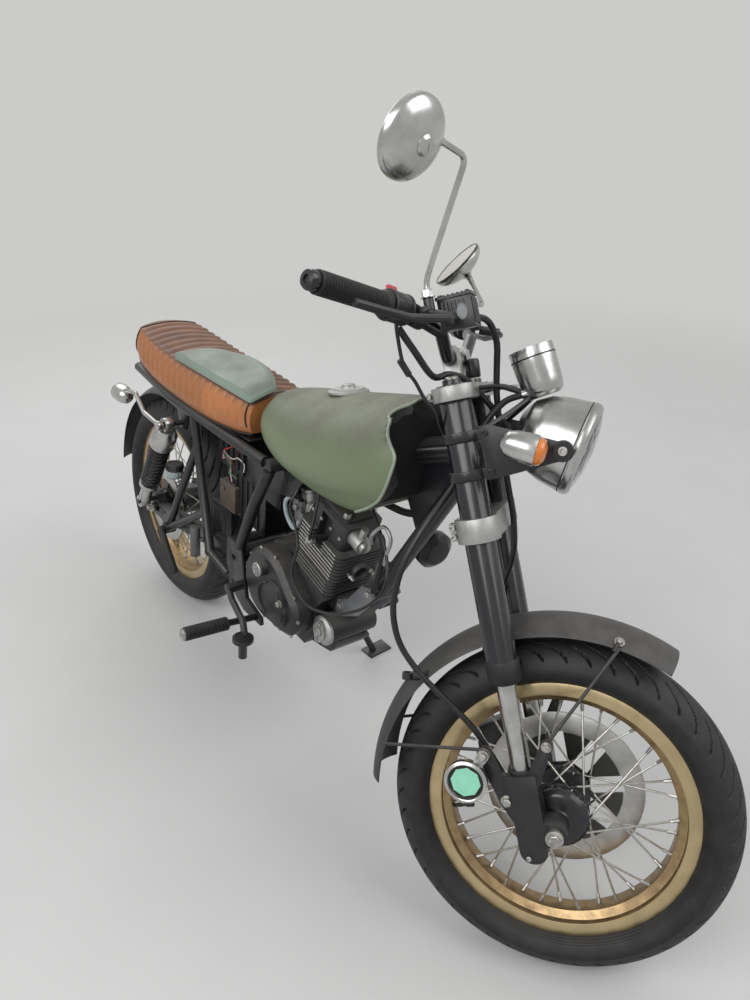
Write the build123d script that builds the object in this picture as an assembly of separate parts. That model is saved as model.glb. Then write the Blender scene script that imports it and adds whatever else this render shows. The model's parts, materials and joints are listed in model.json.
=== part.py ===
from build123d import *
from math import asin, atan2, cos, degrees, pi, radians, sin, sqrt, tan
import os

# Cafe racer motorcycle, parked on its side stand with the steering on its left stop.
# Millimetres. Two upright working frames are used, and a third for the finished model:
#   chassis: X forward, Y left, Z up, origin TYRE_TOP_Z below the rear tyre's top
#   fork: origin at the front axle, Z up along the steering axis, Y left, X forward
#   ground: the chassis leaned onto its stand, both tyres and the stand's foot on Z = 0

# Stance
LEAN = 6.0
STEER_REST = 35.0
WHEELBASE = 1428.0
RAKE = 25.7
STEER_OFFSET = 54.3

# Wheels: tyre outer radius, tread arc radius, half width, rim half width
FRONT_TYRE_R = 306.0
REAR_TYRE_R = 311.0
FRONT_TREAD_R = 57.0
REAR_TREAD_R = 62.0
# Top of the rear tyre in the chassis frame, and with it the rear axle's height there
TYRE_TOP_Z = 622.0
AXLE_Z = TYRE_TOP_Z - REAR_TYRE_R
FRONT_TYRE_HALF = 54.5
REAR_TYRE_HALF = 60.0
SEAT_R = 217.0
FLANGE_R = SEAT_R + 19.0
WELL_R = SEAT_R - 14.0
WELL_HALF = 14.0
RIM_WALL = 4.0
FRONT_RIM_HALF = 34.5
REAR_RIM_HALF = 40.0
SPOKES_PER_SIDE = 18
SPOKE_R = 1.9
SPOKE_CROSS = 57.0
FIT_GAP = 0.3

# Fork, in the fork frame
LEG_X = -40.0
LEG_Y = 95.0
OUTER_R = 26.0
STANCHION_R = 17.5
OUTER_LOW = 271.0
OUTER_TOP = 768.0
FOOT_LOW = -50.0
FOOT_TOP = 105.0
LOWER_CLAMP_Z = 508.0
LOWER_CLAMP_H = 40.0
TOP_CLAMP_Z = 742.0
TOP_CLAMP_H = 24.0
STEM_R = 14.0
HEAD_TUBE_R = 24.0
BAR_R = 11.0
BAR_X = -45.0
BAR_Z = 812.0

# Frame, in the chassis frame
PIVOT_X = 487.0
PIVOT_Z = 385.0
RAIL_Y = 95.0
RAIL_R = 13.0
TUBE_R = 14.0
BACKBONE_R = 26.0
CROSS_R = 16.0
PLATE_Y = 108.0
PLATE_T = 10.0

# Engine, in the chassis frame
CRANK_X = 712.0
CRANK_Z = 372.0
CASE_HALF = 66.0
CYL_TILT = 15.0


def rod(p, q, r):
    """A round bar from p to q."""
    p = Vector(*p)
    q = Vector(*q)
    return Plane(origin=p, z_dir=q - p) * Cylinder(r, (q - p).length, align=(Align.CENTER, Align.CENTER, Align.MIN))


def pipe(points, r, bend):
    """A bent tube of round section along straight runs joined by tangent arcs."""
    path = FilletPolyline(*points, radius=bend)
    return sweep(Plane(origin=path @ 0, z_dir=path % 0) * Circle(r), path=path)


def cord(points, r):
    """A cord's tube: each arc is as large as its two runs allow."""
    pts = [Vector(*p) for p in points]
    bends = []
    for a, b, c in zip(pts, pts[1:], pts[2:]):
        turn = radians((b - a).get_angle(c - b))
        bends.append(0.45 * min((b - a).length, (c - b).length) / tan(turn / 2))
    print("cord radius %.1f, smallest bend %.0f" % (r, min(bends)))
    return pipe(pts, r, bends)


def turned(profile, origin=(0, 0, 0), axis=(0, 0, 1)):
    """A closed profile of (radius, height) points turned about an axis."""
    face = make_face(Polyline(*[(r, 0, h) for r, h in profile], close=True))
    return Plane(origin=origin, z_dir=axis) * revolve(face, Axis.Z)


def plate(outline, y0, y1):
    """A flat outline of (x, z) points, from y0 to y1."""
    face = make_face(Polyline(*[(x, y0, z) for x, z in outline], close=True))
    return extrude(face, amount=y1 - y0, dir=(0, 1, 0))


def slab(x0, x1, y0, y1, z0, z1):
    return Pos((x0 + x1) / 2, (y0 + y1) / 2, (z0 + z1) / 2) * Box(x1 - x0, y1 - y0, z1 - z0)


def hull(circles, y0, y1):
    """The stretched outline round a few circles given as (x, z, r), from y0 to y1."""
    body = None
    for x, z, r in circles:
        one = rod((x, y0, z), (x, y1, z), r)
        body = one if body is None else body + one
    for (xa, za, ra), (xb, zb, rb) in zip(circles, circles[1:]):
        length = sqrt((xb - xa) ** 2 + (zb - za) ** 2)
        heading = atan2(zb - za, xb - xa)
        tip = asin((ra - rb) / length)
        side = [(xa + ra * cos(heading + s * (pi / 2 - tip)), za + ra * sin(heading + s * (pi / 2 - tip)))
                for s in (1, -1)]
        far = [(xb + rb * cos(heading + s * (pi / 2 - tip)), zb + rb * sin(heading + s * (pi / 2 - tip)))
               for s in (-1, 1)]
        body = body + plate(side + far, y0, y1)
    return body


def both(shape):
    """A piece and its mirror image on the other side."""
    return Compound([s for half in (shape, shape.mirror(Plane.XZ)) for s in half.solids()])


def group(*shapes):
    return Compound([s for shape in shapes for s in shape.solids()])


# Where the working frames stand

rake = radians(RAKE)
STEER_UP = Vector(-sin(rake), 0, cos(rake))
FORK_FORWARD = Vector(cos(rake), 0, sin(rake))
AXLE_FRONT = Vector(WHEELBASE, 0, FRONT_TYRE_R)
STEER_POINT = AXLE_FRONT - FORK_FORWARD * STEER_OFFSET
fork_straight = Plane(origin=AXLE_FRONT, x_dir=FORK_FORWARD, z_dir=STEER_UP).location
fork_turned = fork_straight * Pos(-STEER_OFFSET, 0, 0) * Rot(0, 0, STEER_REST) * Pos(STEER_OFFSET, 0, 0)


def point_at(location, p):
    return (location * Pos(*p)).position


def lowest(location, ring_r, tread_r):
    """The height of the lowest point of a tyre whose axle lies along the location's Y."""
    centre = point_at(location, (0, 0, 0))
    axle = point_at(location, (0, 1, 0)) - centre
    return centre.Z - ring_r * sqrt(1 - axle.Z ** 2) - tread_r


def settle():
    """Pitch and raise the leaned chassis until both tyres touch the ground."""
    pitch = 0.0
    for _ in range(8):
        leaned = Rot(-LEAN, 0, 0) * Rot(0, pitch, 0)
        rear = lowest(leaned * Pos(0, 0, AXLE_Z), REAR_TYRE_R - REAR_TREAD_R, REAR_TREAD_R)
        front = lowest(leaned * fork_turned, FRONT_TYRE_R - FRONT_TREAD_R, FRONT_TREAD_R)
        pitch += degrees(atan2(front - rear, WHEELBASE))
    return Pos(0, 0, -rear) * leaned


chassis_place = settle()
fork_place = chassis_place * fork_turned


# Wheels, each about its own axle along Y

def tyre(outer_r, tread_r, half, rim_half):
    spread = radians(60)
    ring = outer_r - tread_r
    shoulder = (ring + tread_r * cos(spread), tread_r * sin(spread))
    bead_r = FLANGE_R + 1.2
    flank = ((shoulder[0] + bead_r) / 2 - 1, half)
    bead = (bead_r, rim_half + 2.5)
    inside = rim_half - 4.0
    seat = SEAT_R + FIT_GAP + 3.0
    edges = [ThreePointArc((shoulder[0], -shoulder[1]), (outer_r, 0), shoulder),
             ThreePointArc(shoulder, flank, bead),
             Polyline(bead, (bead_r, inside), (seat, inside), (seat, -inside), (bead_r, -inside),
                      (bead_r, -bead[1])),
             ThreePointArc((bead_r, -bead[1]), (flank[0], -flank[1]), (shoulder[0], -shoulder[1]))]
    return revolve(make_face(edges), Axis.Y)


def rim(half):
    """A drop-centre rim: flanges, bead seats and a well."""
    inside = half - 3.5
    seat_y = inside - 11
    outer = [(FLANGE_R, half), (FLANGE_R, inside), (SEAT_R + 3, inside), (SEAT_R, seat_y), (WELL_R, WELL_HALF)]
    # the sloped wall keeps its thickness
    shift = RIM_WALL * tan(atan2(SEAT_R - WELL_R, seat_y - WELL_HALF) / 2)
    under = [(SEAT_R - RIM_WALL, half), (SEAT_R - RIM_WALL, seat_y + shift),
             (WELL_R - RIM_WALL, WELL_HALF + shift)]
    points = outer + [(r, -y) for r, y in reversed(outer)] + [(r, -y) for r, y in under]
    points += [(r, y) for r, y in reversed(under)]
    return revolve(make_face(Polyline(*points, close=True)), Axis.Y)


def spokes(flange_r, flange_y):
    """Crossed spokes from both hub flanges to the rim's well."""
    found = []
    step = 360.0 / SPOKES_PER_SIDE
    for side in (1, -1):
        for i in range(SPOKES_PER_SIDE):
            lead = 1 if i % 2 else -1
            at_rim = radians(i * step + (step / 2 if side < 0 else 0))
            at_hub = at_rim - lead * radians(SPOKE_CROSS)
            y_hub = side * (flange_y + lead * 2.6)
            y_rim = side * (7.0 + lead * 2.4)
            r_in = flange_r - 4
            r_out = WELL_R - RIM_WALL + 1.5
            found.append(rod((r_in * cos(at_hub), y_hub, r_in * sin(at_hub)),
                             (r_out * cos(at_rim), y_rim, r_out * sin(at_rim)), SPOKE_R))
    return found


def laced_hub(profile, flange_r, flange_y):
    hub = revolve(make_face(Polyline(*profile, close=True)), Axis.Y)
    reach = Rot(90, 0, 0) * Cylinder(WELL_R - RIM_WALL - FIT_GAP, 120)
    return hub + [s & reach for s in spokes(flange_r, flange_y)]


def brake_disc(outer_r, inner_r, bolt_r, y, thickness, windows):
    """A disc with its carrier arms between the friction ring and the hub."""
    mid = (y + thickness / 2)
    ring = Pos(0, mid, 0) * (Rot(90, 0, 0) * (Cylinder(outer_r, thickness) - Cylinder(bolt_r - 8, thickness * 2)))
    width = (inner_r - bolt_r - 8)
    centre = (inner_r + bolt_r + 8) / 2
    for k in range(windows):
        slot = Box(width, thickness * 3, pi * centre / windows * 1.05)
        ring = ring - Pos(0, mid, 0) * (Rot(0, 360.0 * k / windows, 0) * (Pos(centre, 0, 0) * slot))
    return ring


AXLE_R = 8.0
AXLE_BORE = 8.2
FRONT_HUB_FLANGE = 50.0
FRONT_HUB_Y = 34.0
FRONT_DISC_Y = 58.0
FRONT_DISC_R = 145.0
REAR_HUB_FLANGE = 56.0
REAR_HUB_Y = 38.0
REAR_DISC_Y = -70.0
REAR_DISC_R = 110.0
SPROCKET_Y = 70.0

front_hub = laced_hub([(AXLE_BORE, -40), (38, -40), (38, -37.5), (FRONT_HUB_FLANGE, -37.5),
                       (FRONT_HUB_FLANGE, -30.5), (28, -26), (28, 26), (FRONT_HUB_FLANGE, 30.5),
                       (FRONT_HUB_FLANGE, 37.5), (46, 40), (46, FRONT_DISC_Y - FIT_GAP), (24, FRONT_DISC_Y - FIT_GAP),
                       (24, 68), (AXLE_BORE, 68)], FRONT_HUB_FLANGE, FRONT_HUB_Y)
rear_hub = laced_hub([(AXLE_BORE, -82), (26, -82), (26, REAR_DISC_Y + 5.3), (46, REAR_DISC_Y + 5.3), (46, -44),
                      (REAR_HUB_FLANGE, -41.5), (REAR_HUB_FLANGE, -34.5), (42, -30), (42, 30),
                      (REAR_HUB_FLANGE, 34.5), (REAR_HUB_FLANGE, 41.5), (50, 44), (50, SPROCKET_Y - FIT_GAP),
                      (26, SPROCKET_Y - FIT_GAP), (26, 82), (AXLE_BORE, 82)], REAR_HUB_FLANGE, REAR_HUB_Y)

# Chain drive, on the left
CHAIN_PITCH = 12.7
REAR_TEETH = 40
FRONT_TEETH = 15
SPROCKET_T = 6.0
CHAIN_HALF = 5.5
COUNTER_X = 575.0
COUNTER_Z = 392.0


def pitch_radius(teeth):
    return CHAIN_PITCH / 2 / sin(pi / teeth)


def sprocket(teeth, bore):
    root = pitch_radius(teeth) - 10.0
    wheel = Rot(90, 0, 0) * (Cylinder(root, SPROCKET_T) - Cylinder(bore, SPROCKET_T * 2))
    for k in range(5):
        hole = Rot(90, 0, 0) * Cylinder(10, SPROCKET_T * 2)
        wheel = wheel - Rot(0, 72.0 * k, 0) * (Pos(root * 0.66, 0, 0) * hole)
    return wheel


def chain_loop():
    """The chain as one closed band round both sprockets."""
    y = SPROCKET_Y + SPROCKET_T / 2
    r1 = pitch_radius(REAR_TEETH)
    r2 = pitch_radius(FRONT_TEETH)
    gap = 5.0
    outer = hull([(0, AXLE_Z, r1 + gap), (COUNTER_X, COUNTER_Z, r2 + gap)], y - CHAIN_HALF, y + CHAIN_HALF)
    inner = hull([(0, AXLE_Z, r1 - gap), (COUNTER_X, COUNTER_Z, r2 - gap)], y - CHAIN_HALF * 2,
                 y + CHAIN_HALF * 2)
    return outer - inner


# Fork group

def fork_foot():
    """The right leg's axle bracket: block, axle boss, ear plate and front lug."""
    y0 = -(LEG_Y + 22)
    y1 = -(LEG_Y - 22)
    block = hull([(LEG_X, FOOT_LOW + 24, 24), (LEG_X, FOOT_TOP - 25, 25)], y0, y1)
    block = block + slab(LEG_X - 25, LEG_X + 25, y0, y1, FOOT_TOP - 40, FOOT_TOP)
    boss = hull([(LEG_X + 6, 0, 22), (0, 0, 20)], y0, y1)
    ear = hull([(-96, 147, 12), (-71, 62, 13), (-52, 30, 16)], -112, -102)
    web = hull([(-84, 105, 10), (-52, 85, 16)], -112, -102)
    lug = hull([(-22, 92, 12), (11, 153, 10)], -112, -102)
    foot = block + boss + ear + web + lug
    foot = foot - rod((LEG_X, -LEG_Y, FOOT_TOP - 30), (LEG_X, -LEG_Y, FOOT_TOP + 60), STANCHION_R + 0.1)
    foot = foot - rod((0, -160, 0), (0, 0, 0), AXLE_BORE)
    for x, z in ((-96, 147), (-71, 62), (11, 153)):
        foot = foot - rod((x, -130, z), (x, -90, z), 4.25)
    return foot


def outer_tube():
    low = OUTER_LOW
    tube = rod((LEG_X, -LEG_Y, low + 30), (LEG_X, -LEG_Y, OUTER_TOP), OUTER_R)
    tube = tube + rod((LEG_X, -LEG_Y, low), (LEG_X, -LEG_Y, low + 32), OUTER_R + 2)
    tube = tube - rod((LEG_X, -LEG_Y, low - 10), (LEG_X, -LEG_Y, low + 110), STANCHION_R + 0.1)
    return tube + rod((LEG_X, -LEG_Y, OUTER_TOP), (LEG_X, -LEG_Y, OUTER_TOP + 8), 15)


def clamp_plate(z0, height, ring, front_x, back_x):
    """A triple clamp: two rings for the fork tubes joined by a bridge round the stem."""
    body = Pos((front_x + back_x) / 2, 0, z0 + height / 2) * Box(front_x - back_x, 2 * LEG_Y, height)
    body = fillet(body.edges().filter_by(Axis.Z), 14)
    stem_boss = rod((-STEER_OFFSET, 0, z0), (-STEER_OFFSET, 0, z0 + height), 30)
    body = body + stem_boss
    for side in (1, -1):
        body = body + rod((LEG_X, side * LEG_Y, z0), (LEG_X, side * LEG_Y, z0 + height), ring)
        body = body + slab(LEG_X - ring - 9, LEG_X, side * LEG_Y - 9, side * LEG_Y + 9, z0 + 5, z0 + height - 5)
    for side in (1, -1):
        body = body - rod((LEG_X, side * LEG_Y, z0 - 5), (LEG_X, side * LEG_Y, z0 + height + 5), OUTER_R + 0.15)
        body = body - slab(LEG_X - ring - 20, LEG_X, side * LEG_Y - 1.5, side * LEG_Y + 1.5, z0 - 1, z0 + height + 1)
    return body


def lower_clamp():
    body = clamp_plate(LOWER_CLAMP_Z, LOWER_CLAMP_H, 36, -8, -62)
    return body + rod((-STEER_OFFSET, 0, LOWER_CLAMP_Z), (-STEER_OFFSET, 0, TOP_CLAMP_Z + TOP_CLAMP_H + 10), STEM_R)


def top_clamp():
    body = clamp_plate(TOP_CLAMP_Z, TOP_CLAMP_H, 35, -8, -62)
    for side in (1, -1):
        y = side * 42
        body = body + slab(BAR_X - 15, BAR_X + 15, y - 14, y + 14, TOP_CLAMP_Z + TOP_CLAMP_H - 2, BAR_Z + 17)
        body = body - rod((BAR_X, y - 20, BAR_Z), (BAR_X, y + 20, BAR_Z), BAR_R + 0.1)
    return body - rod((-STEER_OFFSET, 0, TOP_CLAMP_Z - 5), (-STEER_OFFSET, 0, TOP_CLAMP_Z + 60), STEM_R + 0.1)


# The handlebar's right half, from its middle to its end, as (x, y, z)
BAR_ROUTE = [(BAR_X, 0, BAR_Z), (BAR_X, -66, BAR_Z), (-36, -122, 852), (-62, -215, 884), (-132, -388, 925)]


def handlebar():
    right = BAR_ROUTE[::-1]
    left = [(x, -y, z) for x, y, z in BAR_ROUTE[1:]]
    return pipe(right[:-1] + left, BAR_R, 38)


def bar_point(k, along):
    a = Vector(*BAR_ROUTE[k])
    b = Vector(*BAR_ROUTE[k + 1])
    return a + (b - a) * along


GRIP_R = 16.5


def grip():
    inner = bar_point(3, 0.25)
    outer = bar_point(3, 0.985)
    body = rod(inner, outer, GRIP_R) + rod(inner, inner + (outer - inner) * 0.04, GRIP_R + 4)
    return body - rod(inner - (outer - inner) * 0.1, outer + (outer - inner) * 0.1, BAR_R + 0.1)


def switch_pod():
    inner = bar_point(3, 0.02)
    outer = bar_point(3, 0.235)
    body = rod(inner, outer, 23)
    return body - rod(inner - (outer - inner), outer + (outer - inner), BAR_R + 0.1)


def lever_set(reservoir):
    """Perch on the bar, with a finger lever ahead of the grip, and the brake's box."""
    perch_a = bar_point(2, 0.62)
    perch_b = bar_point(2, 0.86)
    body = rod(perch_a, perch_b, 17)
    boss = bar_point(2, 0.74)
    ahead = boss + BOSS_AHEAD
    body = body + rod(boss, ahead, 9) + rod(ahead - Vector(0, 0, 10), ahead + Vector(0, 0, 18), 8)
    body = body + rod((-30, -200, 872), (6, -206, 858), 9)
    body = body + pipe([(2, -205, 860), (4, -232, 856), (-38, -300, 862), (-84, -384, 886)], 6, 20)
    if reservoir:
        body = body + slab(-22, 30, -178, -136, 846, 892)
    return body - rod(bar_point(2, 0.2), bar_point(2, 0.99), BAR_R + 0.1)


MIRROR_R = 56.0

# Each mirror: stem bends beyond its boss, head centre and the way that its glass faces away from
MIRROR_ROUTES = {-1: [(68, -236, 1066), (46, -300, 1079)], 1: [(-20, 236, 920), (-44, 280, 984)]}
MIRROR_HEADS = {-1: ((20, -332, 1078), (0.68, -0.32, -0.66)), 1: ((-65, 300, 1018), (0.45, 0.4, -0.79))}
BOSS_AHEAD = Vector(24, 0, 6)


def mirror_set(side):
    """A round mirror on its bent stem: side -1 is the right one."""
    boss = bar_point(2, 0.74) + BOSS_AHEAD
    base = Vector(boss.X, side * abs(boss.Y), boss.Z + 18.6)
    stem = pipe([base, base + Vector(2, 0, 24)] + MIRROR_ROUTES[side], 4.5, 14)
    centre, away = MIRROR_HEADS[side]
    head = turned([(0, -8), (MIRROR_R, -8), (MIRROR_R, 0), (MIRROR_R * 0.8, 12), (MIRROR_R * 0.4, 20), (0, 22)],
                  centre, away)
    neck = rod(MIRROR_ROUTES[side][-1], centre, 7) - head
    return stem + neck + head


LAMP_CENTRE = (128.0, 0.0, 628.0)
LAMP_AXIS = (0.848, 0.0, -0.53)
LAMP_R = 80.0


def headlight():
    bowl = [(0, -104), (26, -101), (50, -88), (66, -66), (75, -38), (LAMP_R, 0), (LAMP_R, 4), (LAMP_R - 4, 4),
            (LAMP_R - 5, 0), (LAMP_R - 10, -36), (60, -62), (45, -82), (24, -94), (0, -97)]
    body = turned(bowl, LAMP_CENTRE, LAMP_AXIS)
    for side in (1, -1):
        body = body + rod((120, side * 74, 632), (120, side * 103.7, 632), 12)
    return body


def headlight_rim():
    ring = [(LAMP_R + 2, 4.3), (LAMP_R + 1, 14), (LAMP_R - 5, 20), (LAMP_R - 9, 20), (LAMP_R - 9, 4.3)]
    return turned(ring, LAMP_CENTRE, LAMP_AXIS)


def headlight_glass():
    lens = [(0, 8), (LAMP_R - 9.3, 8), (LAMP_R - 9.3, 19), (50, 26), (25, 30), (0, 31)]
    return turned(lens, LAMP_CENTRE, LAMP_AXIS)


def headlight_ear():
    body = plate([(-8, 606), (-8, 694), (10, 694), (118, 646), (134, 636), (134, 626), (122, 616), (106, 616),
                  (10, 606)], -108, -104)
    for z in (612, 676):
        collar = Cylinder(OUTER_R + 5, 16) - Cylinder(OUTER_R + 0.15, 20)
        body = body + Pos(LEG_X, -LEG_Y, z + 6) * collar
        body = body + slab(-12, 0, -108, -96, z - 2, z + 14)
    return body - rod((LEG_X, -LEG_Y, 590), (LEG_X, -LEG_Y, 710), OUTER_R + 0.15)


GAUGE_BOTTOM = (95.0, 0.0, 722.0)
GAUGE_AXIS = (-0.147, 0.0, 0.989)


def gauge():
    cup = [(0, 0), (26, 0), (33, 6), (36, 20), (38, 62), (38, 84), (35, 84), (35, 74), (0, 74)]
    body = turned(cup, GAUGE_BOTTOM, GAUGE_AXIS)
    body = body + rod((80, -14, 732), (58, -20, 730), 7)
    return body + slab(-7.7, 62, -12, 12, 746, 751)


def indicator(centre, heading):
    """A bullet lamp: rounded shell and lens, pointing along its heading."""
    shell = [(0, -38), (12, -35), (20, -26), (24, -12), (25, 4), (25, 22), (0, 22)]
    return turned(shell, centre, heading)


FRONT_INDICATOR = (62.0, -138.0, 650.0)
FENDER_R = FRONT_TYRE_R + 46.0
FENDER_EDGE_R = FENDER_R - 26.0
FENDER_HALF = FRONT_TYRE_HALF + 7.5
FENDER_T = 3.0
FENDER_FROM = 47.0
FENDER_TO = 166.0


def arched_guard(crown_r, edge_r, half, thickness, start, end):
    """A wheel guard: a curved section swept round the axle from one angle to another."""
    outer = ThreePointArc((edge_r, -half), (crown_r, 0), (edge_r, half))
    inner = ThreePointArc((edge_r, half - thickness), (crown_r - thickness, 0), (edge_r, -half + thickness))
    face = make_face([outer, Line((edge_r, half), (edge_r, half - thickness)), inner,
                      Line((edge_r, -half + thickness), (edge_r, -half))])
    sweep_axis = Axis((0, 0, 0), (0, -1, 0))
    return revolve(face, sweep_axis, end - start).rotate(sweep_axis, start)


def front_mudguard():
    guard = arched_guard(FENDER_R, FENDER_EDGE_R, FENDER_HALF, FENDER_T, FENDER_FROM, FENDER_TO)
    stays = []
    for side in (1, -1):
        for angle, low in ((63, (11, 153)), (152, (-96, 147))):
            a = radians(angle)
            top = ((FENDER_EDGE_R + 4) * cos(a), side * (FENDER_HALF + 1), (FENDER_EDGE_R + 4) * sin(a))
            knee = (low[0], side * 96, low[1])
            stays.append(rod(top, knee, 3) + Pos(*knee) * Sphere(3) + rod(knee, (low[0], side * 101.7, low[1]), 3))
    return guard + stays


def front_caliper():
    body = plate([(-150, 40), (-150, 120), (-96, 135), (-84, 60), (-100, 38)], 42, 101.7)
    body = body - slab(-200, -50, FRONT_DISC_Y - 5, FRONT_DISC_Y + 10, 0, 200)
    keep_clear = rod((0, 0, 0), (0, 200, 0), 88)
    body = body - keep_clear
    return max(body.solids(), key=lambda s: s.volume)


def speedometer_drive():
    cover = [(AXLE_BORE, 0), (30, 0), (50, 3), (52, 8), (52, 16), (44, 23), (20, 26), (14, 32.5), (AXLE_BORE, 32.5)]
    body = turned(cover, (0, -40.3, 0), (0, -1, 0))
    return body + rod((-30, -54, 20), (-62, -58, 48), 8)


def front_axle():
    pin = rod((0, -124, 0), (0, 124, 0), AXLE_R)
    spacer = rod((0, 68.3, 0), (0, 72.8, 0), 14)
    return pin + spacer + rod((0, -129, 0), (0, -117.3, 0), 15) + rod((0, 117.3, 0), (0, 129, 0), 15)


def permit_holder():
    ring = [(0, 0), (34, 0), (37, 3), (37, 14), (33, 16), (30, 12), (0, 12)]
    body = turned(ring, (-131, -119, 108), (0, -1, 0))
    return body + hull([(-96, 147, 10), (-112, 128, 8)], -121.5, -118.5) + rod((-96, -119, 147), (-96, -112.2, 147), 7)


# Points of the free cords, in the fork frame
SPEEDO_ROUTE = [(57.7, -20.1, 730), (32.9, -26.8, 727.7), (2, -40, 706), (-34, -54, 660), (-69, -64, 606),
                (-118, -110, 554), (-170, -130, 492), (-205, -122, 420), (-212, -106, 352), (-186, -98, 290),
                (-150, -88, 236), (-116, -78, 184), (-94, -70, 130), (-80, -63, 82), (-66, -59, 52)]
HOSE_ROUTE = [(16, -135.7, 866), (16, -108, 866), (34, -72, 860), (38, -44, 826), (26, -28, 782), (17, -20, 742),
              (11, -10, 690), (8, -4, 636), (5, 4, 582), (3, 18, 520), (-10, 38, 455), (-44, 56, 396), (-84, 74, 334),
              (-108, 85, 266), (-124, 84, 196), (-128, 78, 136)]

# Chassis pieces

HEAD_LOW = LOWER_CLAMP_Z + LOWER_CLAMP_H + FIT_GAP
HEAD_TOP = TOP_CLAMP_Z - FIT_GAP


def steer_axis_point(z_fork):
    return STEER_POINT + STEER_UP * z_fork


SPINE_FRONT = steer_axis_point((HEAD_LOW + HEAD_TOP) / 2 + 12)
SPINE_REAR_X = 600.0
DOWN_TOP = steer_axis_point(HEAD_LOW + 72)
DOWN_END_X = 905.0
DOWN_END_Z = 480.0
SPINE_REAR_Z = 668.0


def on_down_tube(z):
    """How far forward the down tube's middle is at a height."""
    return DOWN_END_X + (DOWN_TOP.X - DOWN_END_X) * (z - DOWN_END_Z) / (DOWN_TOP.Z - DOWN_END_Z)


def head_and_spine():
    low = steer_axis_point(HEAD_LOW)
    top = steer_axis_point(HEAD_TOP)
    head = rod(low, top, HEAD_TUBE_R)
    spine = rod(SPINE_FRONT, (SPINE_REAR_X, 0, SPINE_REAR_Z), BACKBONE_R)
    down = rod(DOWN_TOP, (DOWN_END_X, 0, DOWN_END_Z), 17)
    gusset = plate([(DOWN_TOP.X - 6, DOWN_TOP.Z), (SPINE_FRONT.X - 6, SPINE_FRONT.Z - 10), (930, 770),
                    (1010, 640)], -3, 3)
    side = plate([(560, 650), (690, 660), (640, 600), (470, 560), (440, 640)], -62, -58)
    cross = rod((SPINE_REAR_X, -RAIL_Y - 6, SPINE_REAR_Z), (SPINE_REAR_X, RAIL_Y + 6, SPINE_REAR_Z), CROSS_R)
    body = head + spine + down + gusset + cross + side + side.mirror(Plane.XZ)
    body = body + plate([(560, 640), (600, 660), (620, 640), (580, 620)], -62, 62)
    body = body + rod((DOWN_END_X, -30.7, DOWN_END_Z), (DOWN_END_X, 30.7, DOWN_END_Z), 19)
    body = body - rod(low - STEER_UP * 5, top + STEER_UP * 5, STEM_R + 0.3)
    return body - rod(low + STEER_UP * 14, top - STEER_UP * 14, HEAD_TUBE_R - 5)


HANGER_X = 486.0
HANGER_Z = 318.0
HANGER_R = 4.25


def seat_tube_and_plate():
    """The right seat tube with the plate that carries the swingarm and the foot rest."""
    tube = pipe([(602, -RAIL_Y, 658), (560, -PLATE_Y + 2, 560), (508, -PLATE_Y - 5, 424)], TUBE_R, 60)
    tube = tube - rod((SPINE_REAR_X, -200, SPINE_REAR_Z), (SPINE_REAR_X, 0, SPINE_REAR_Z), CROSS_R + 0.1)
    outline = [(455, 430), (524, 430), (530, 380), (548, 300), (616, 280), (620, 262), (540, 262), (470, 300),
               (452, 360)]
    body = tube + plate(outline, -PLATE_Y - PLATE_T, -PLATE_Y)
    body = body - rod((PIVOT_X, -200, PIVOT_Z), (PIVOT_X, 0, PIVOT_Z), 8.2)
    return body - rod((HANGER_X, -200, HANGER_Z), (HANGER_X, 0, HANGER_Z), HANGER_R)


# Side stand: pivot in the chassis frame, foot on the ground in the ground frame
STAND_PIVOT = (560.0, 136.0, 290.0)
STAND_FOOT = (600.0, 268.0)
STAND_EYE_R = 16.0
STAND_EYE_HALF = 9.5
STAND_PIN_R = 6.0


def stand_axis():
    """The fold's axis in the ground frame: square to the leg and to the machine's length."""
    pivot = point_at(chassis_place, STAND_PIVOT)
    leg = Vector(STAND_FOOT[0], STAND_FOOT[1], 5) - pivot
    back = point_at(chassis_place, (-1, 0, 0)) - point_at(chassis_place, (0, 0, 0))
    return leg.cross(back).normalized()


def stand_pin():
    """The stand's pivot pin on its boss, from the left plate, in the chassis frame."""
    pivot = point_at(chassis_place, STAND_PIVOT)
    axis = stand_axis()
    across = axis.dot(point_at(chassis_place, (0, 1, 0)) - point_at(chassis_place, (0, 0, 0)))
    root = pivot - axis * ((STAND_PIVOT[1] - PLATE_Y - PLATE_T / 2) / across)
    seat = STAND_EYE_HALF + FIT_GAP
    boss = rod(root, pivot - axis * seat, STAND_PIN_R + 8)
    pin = rod(root, pivot + axis * (seat + 5), STAND_PIN_R) + rod(pivot + axis * seat, pivot + axis * (seat + 5), 11)
    inboard = chassis_place * slab(STAND_PIVOT[0] - 60, STAND_PIVOT[0] + 60, 0, PLATE_Y, 200, 400)
    return chassis_place.inverse() * (boss + pin - inboard)


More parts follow.
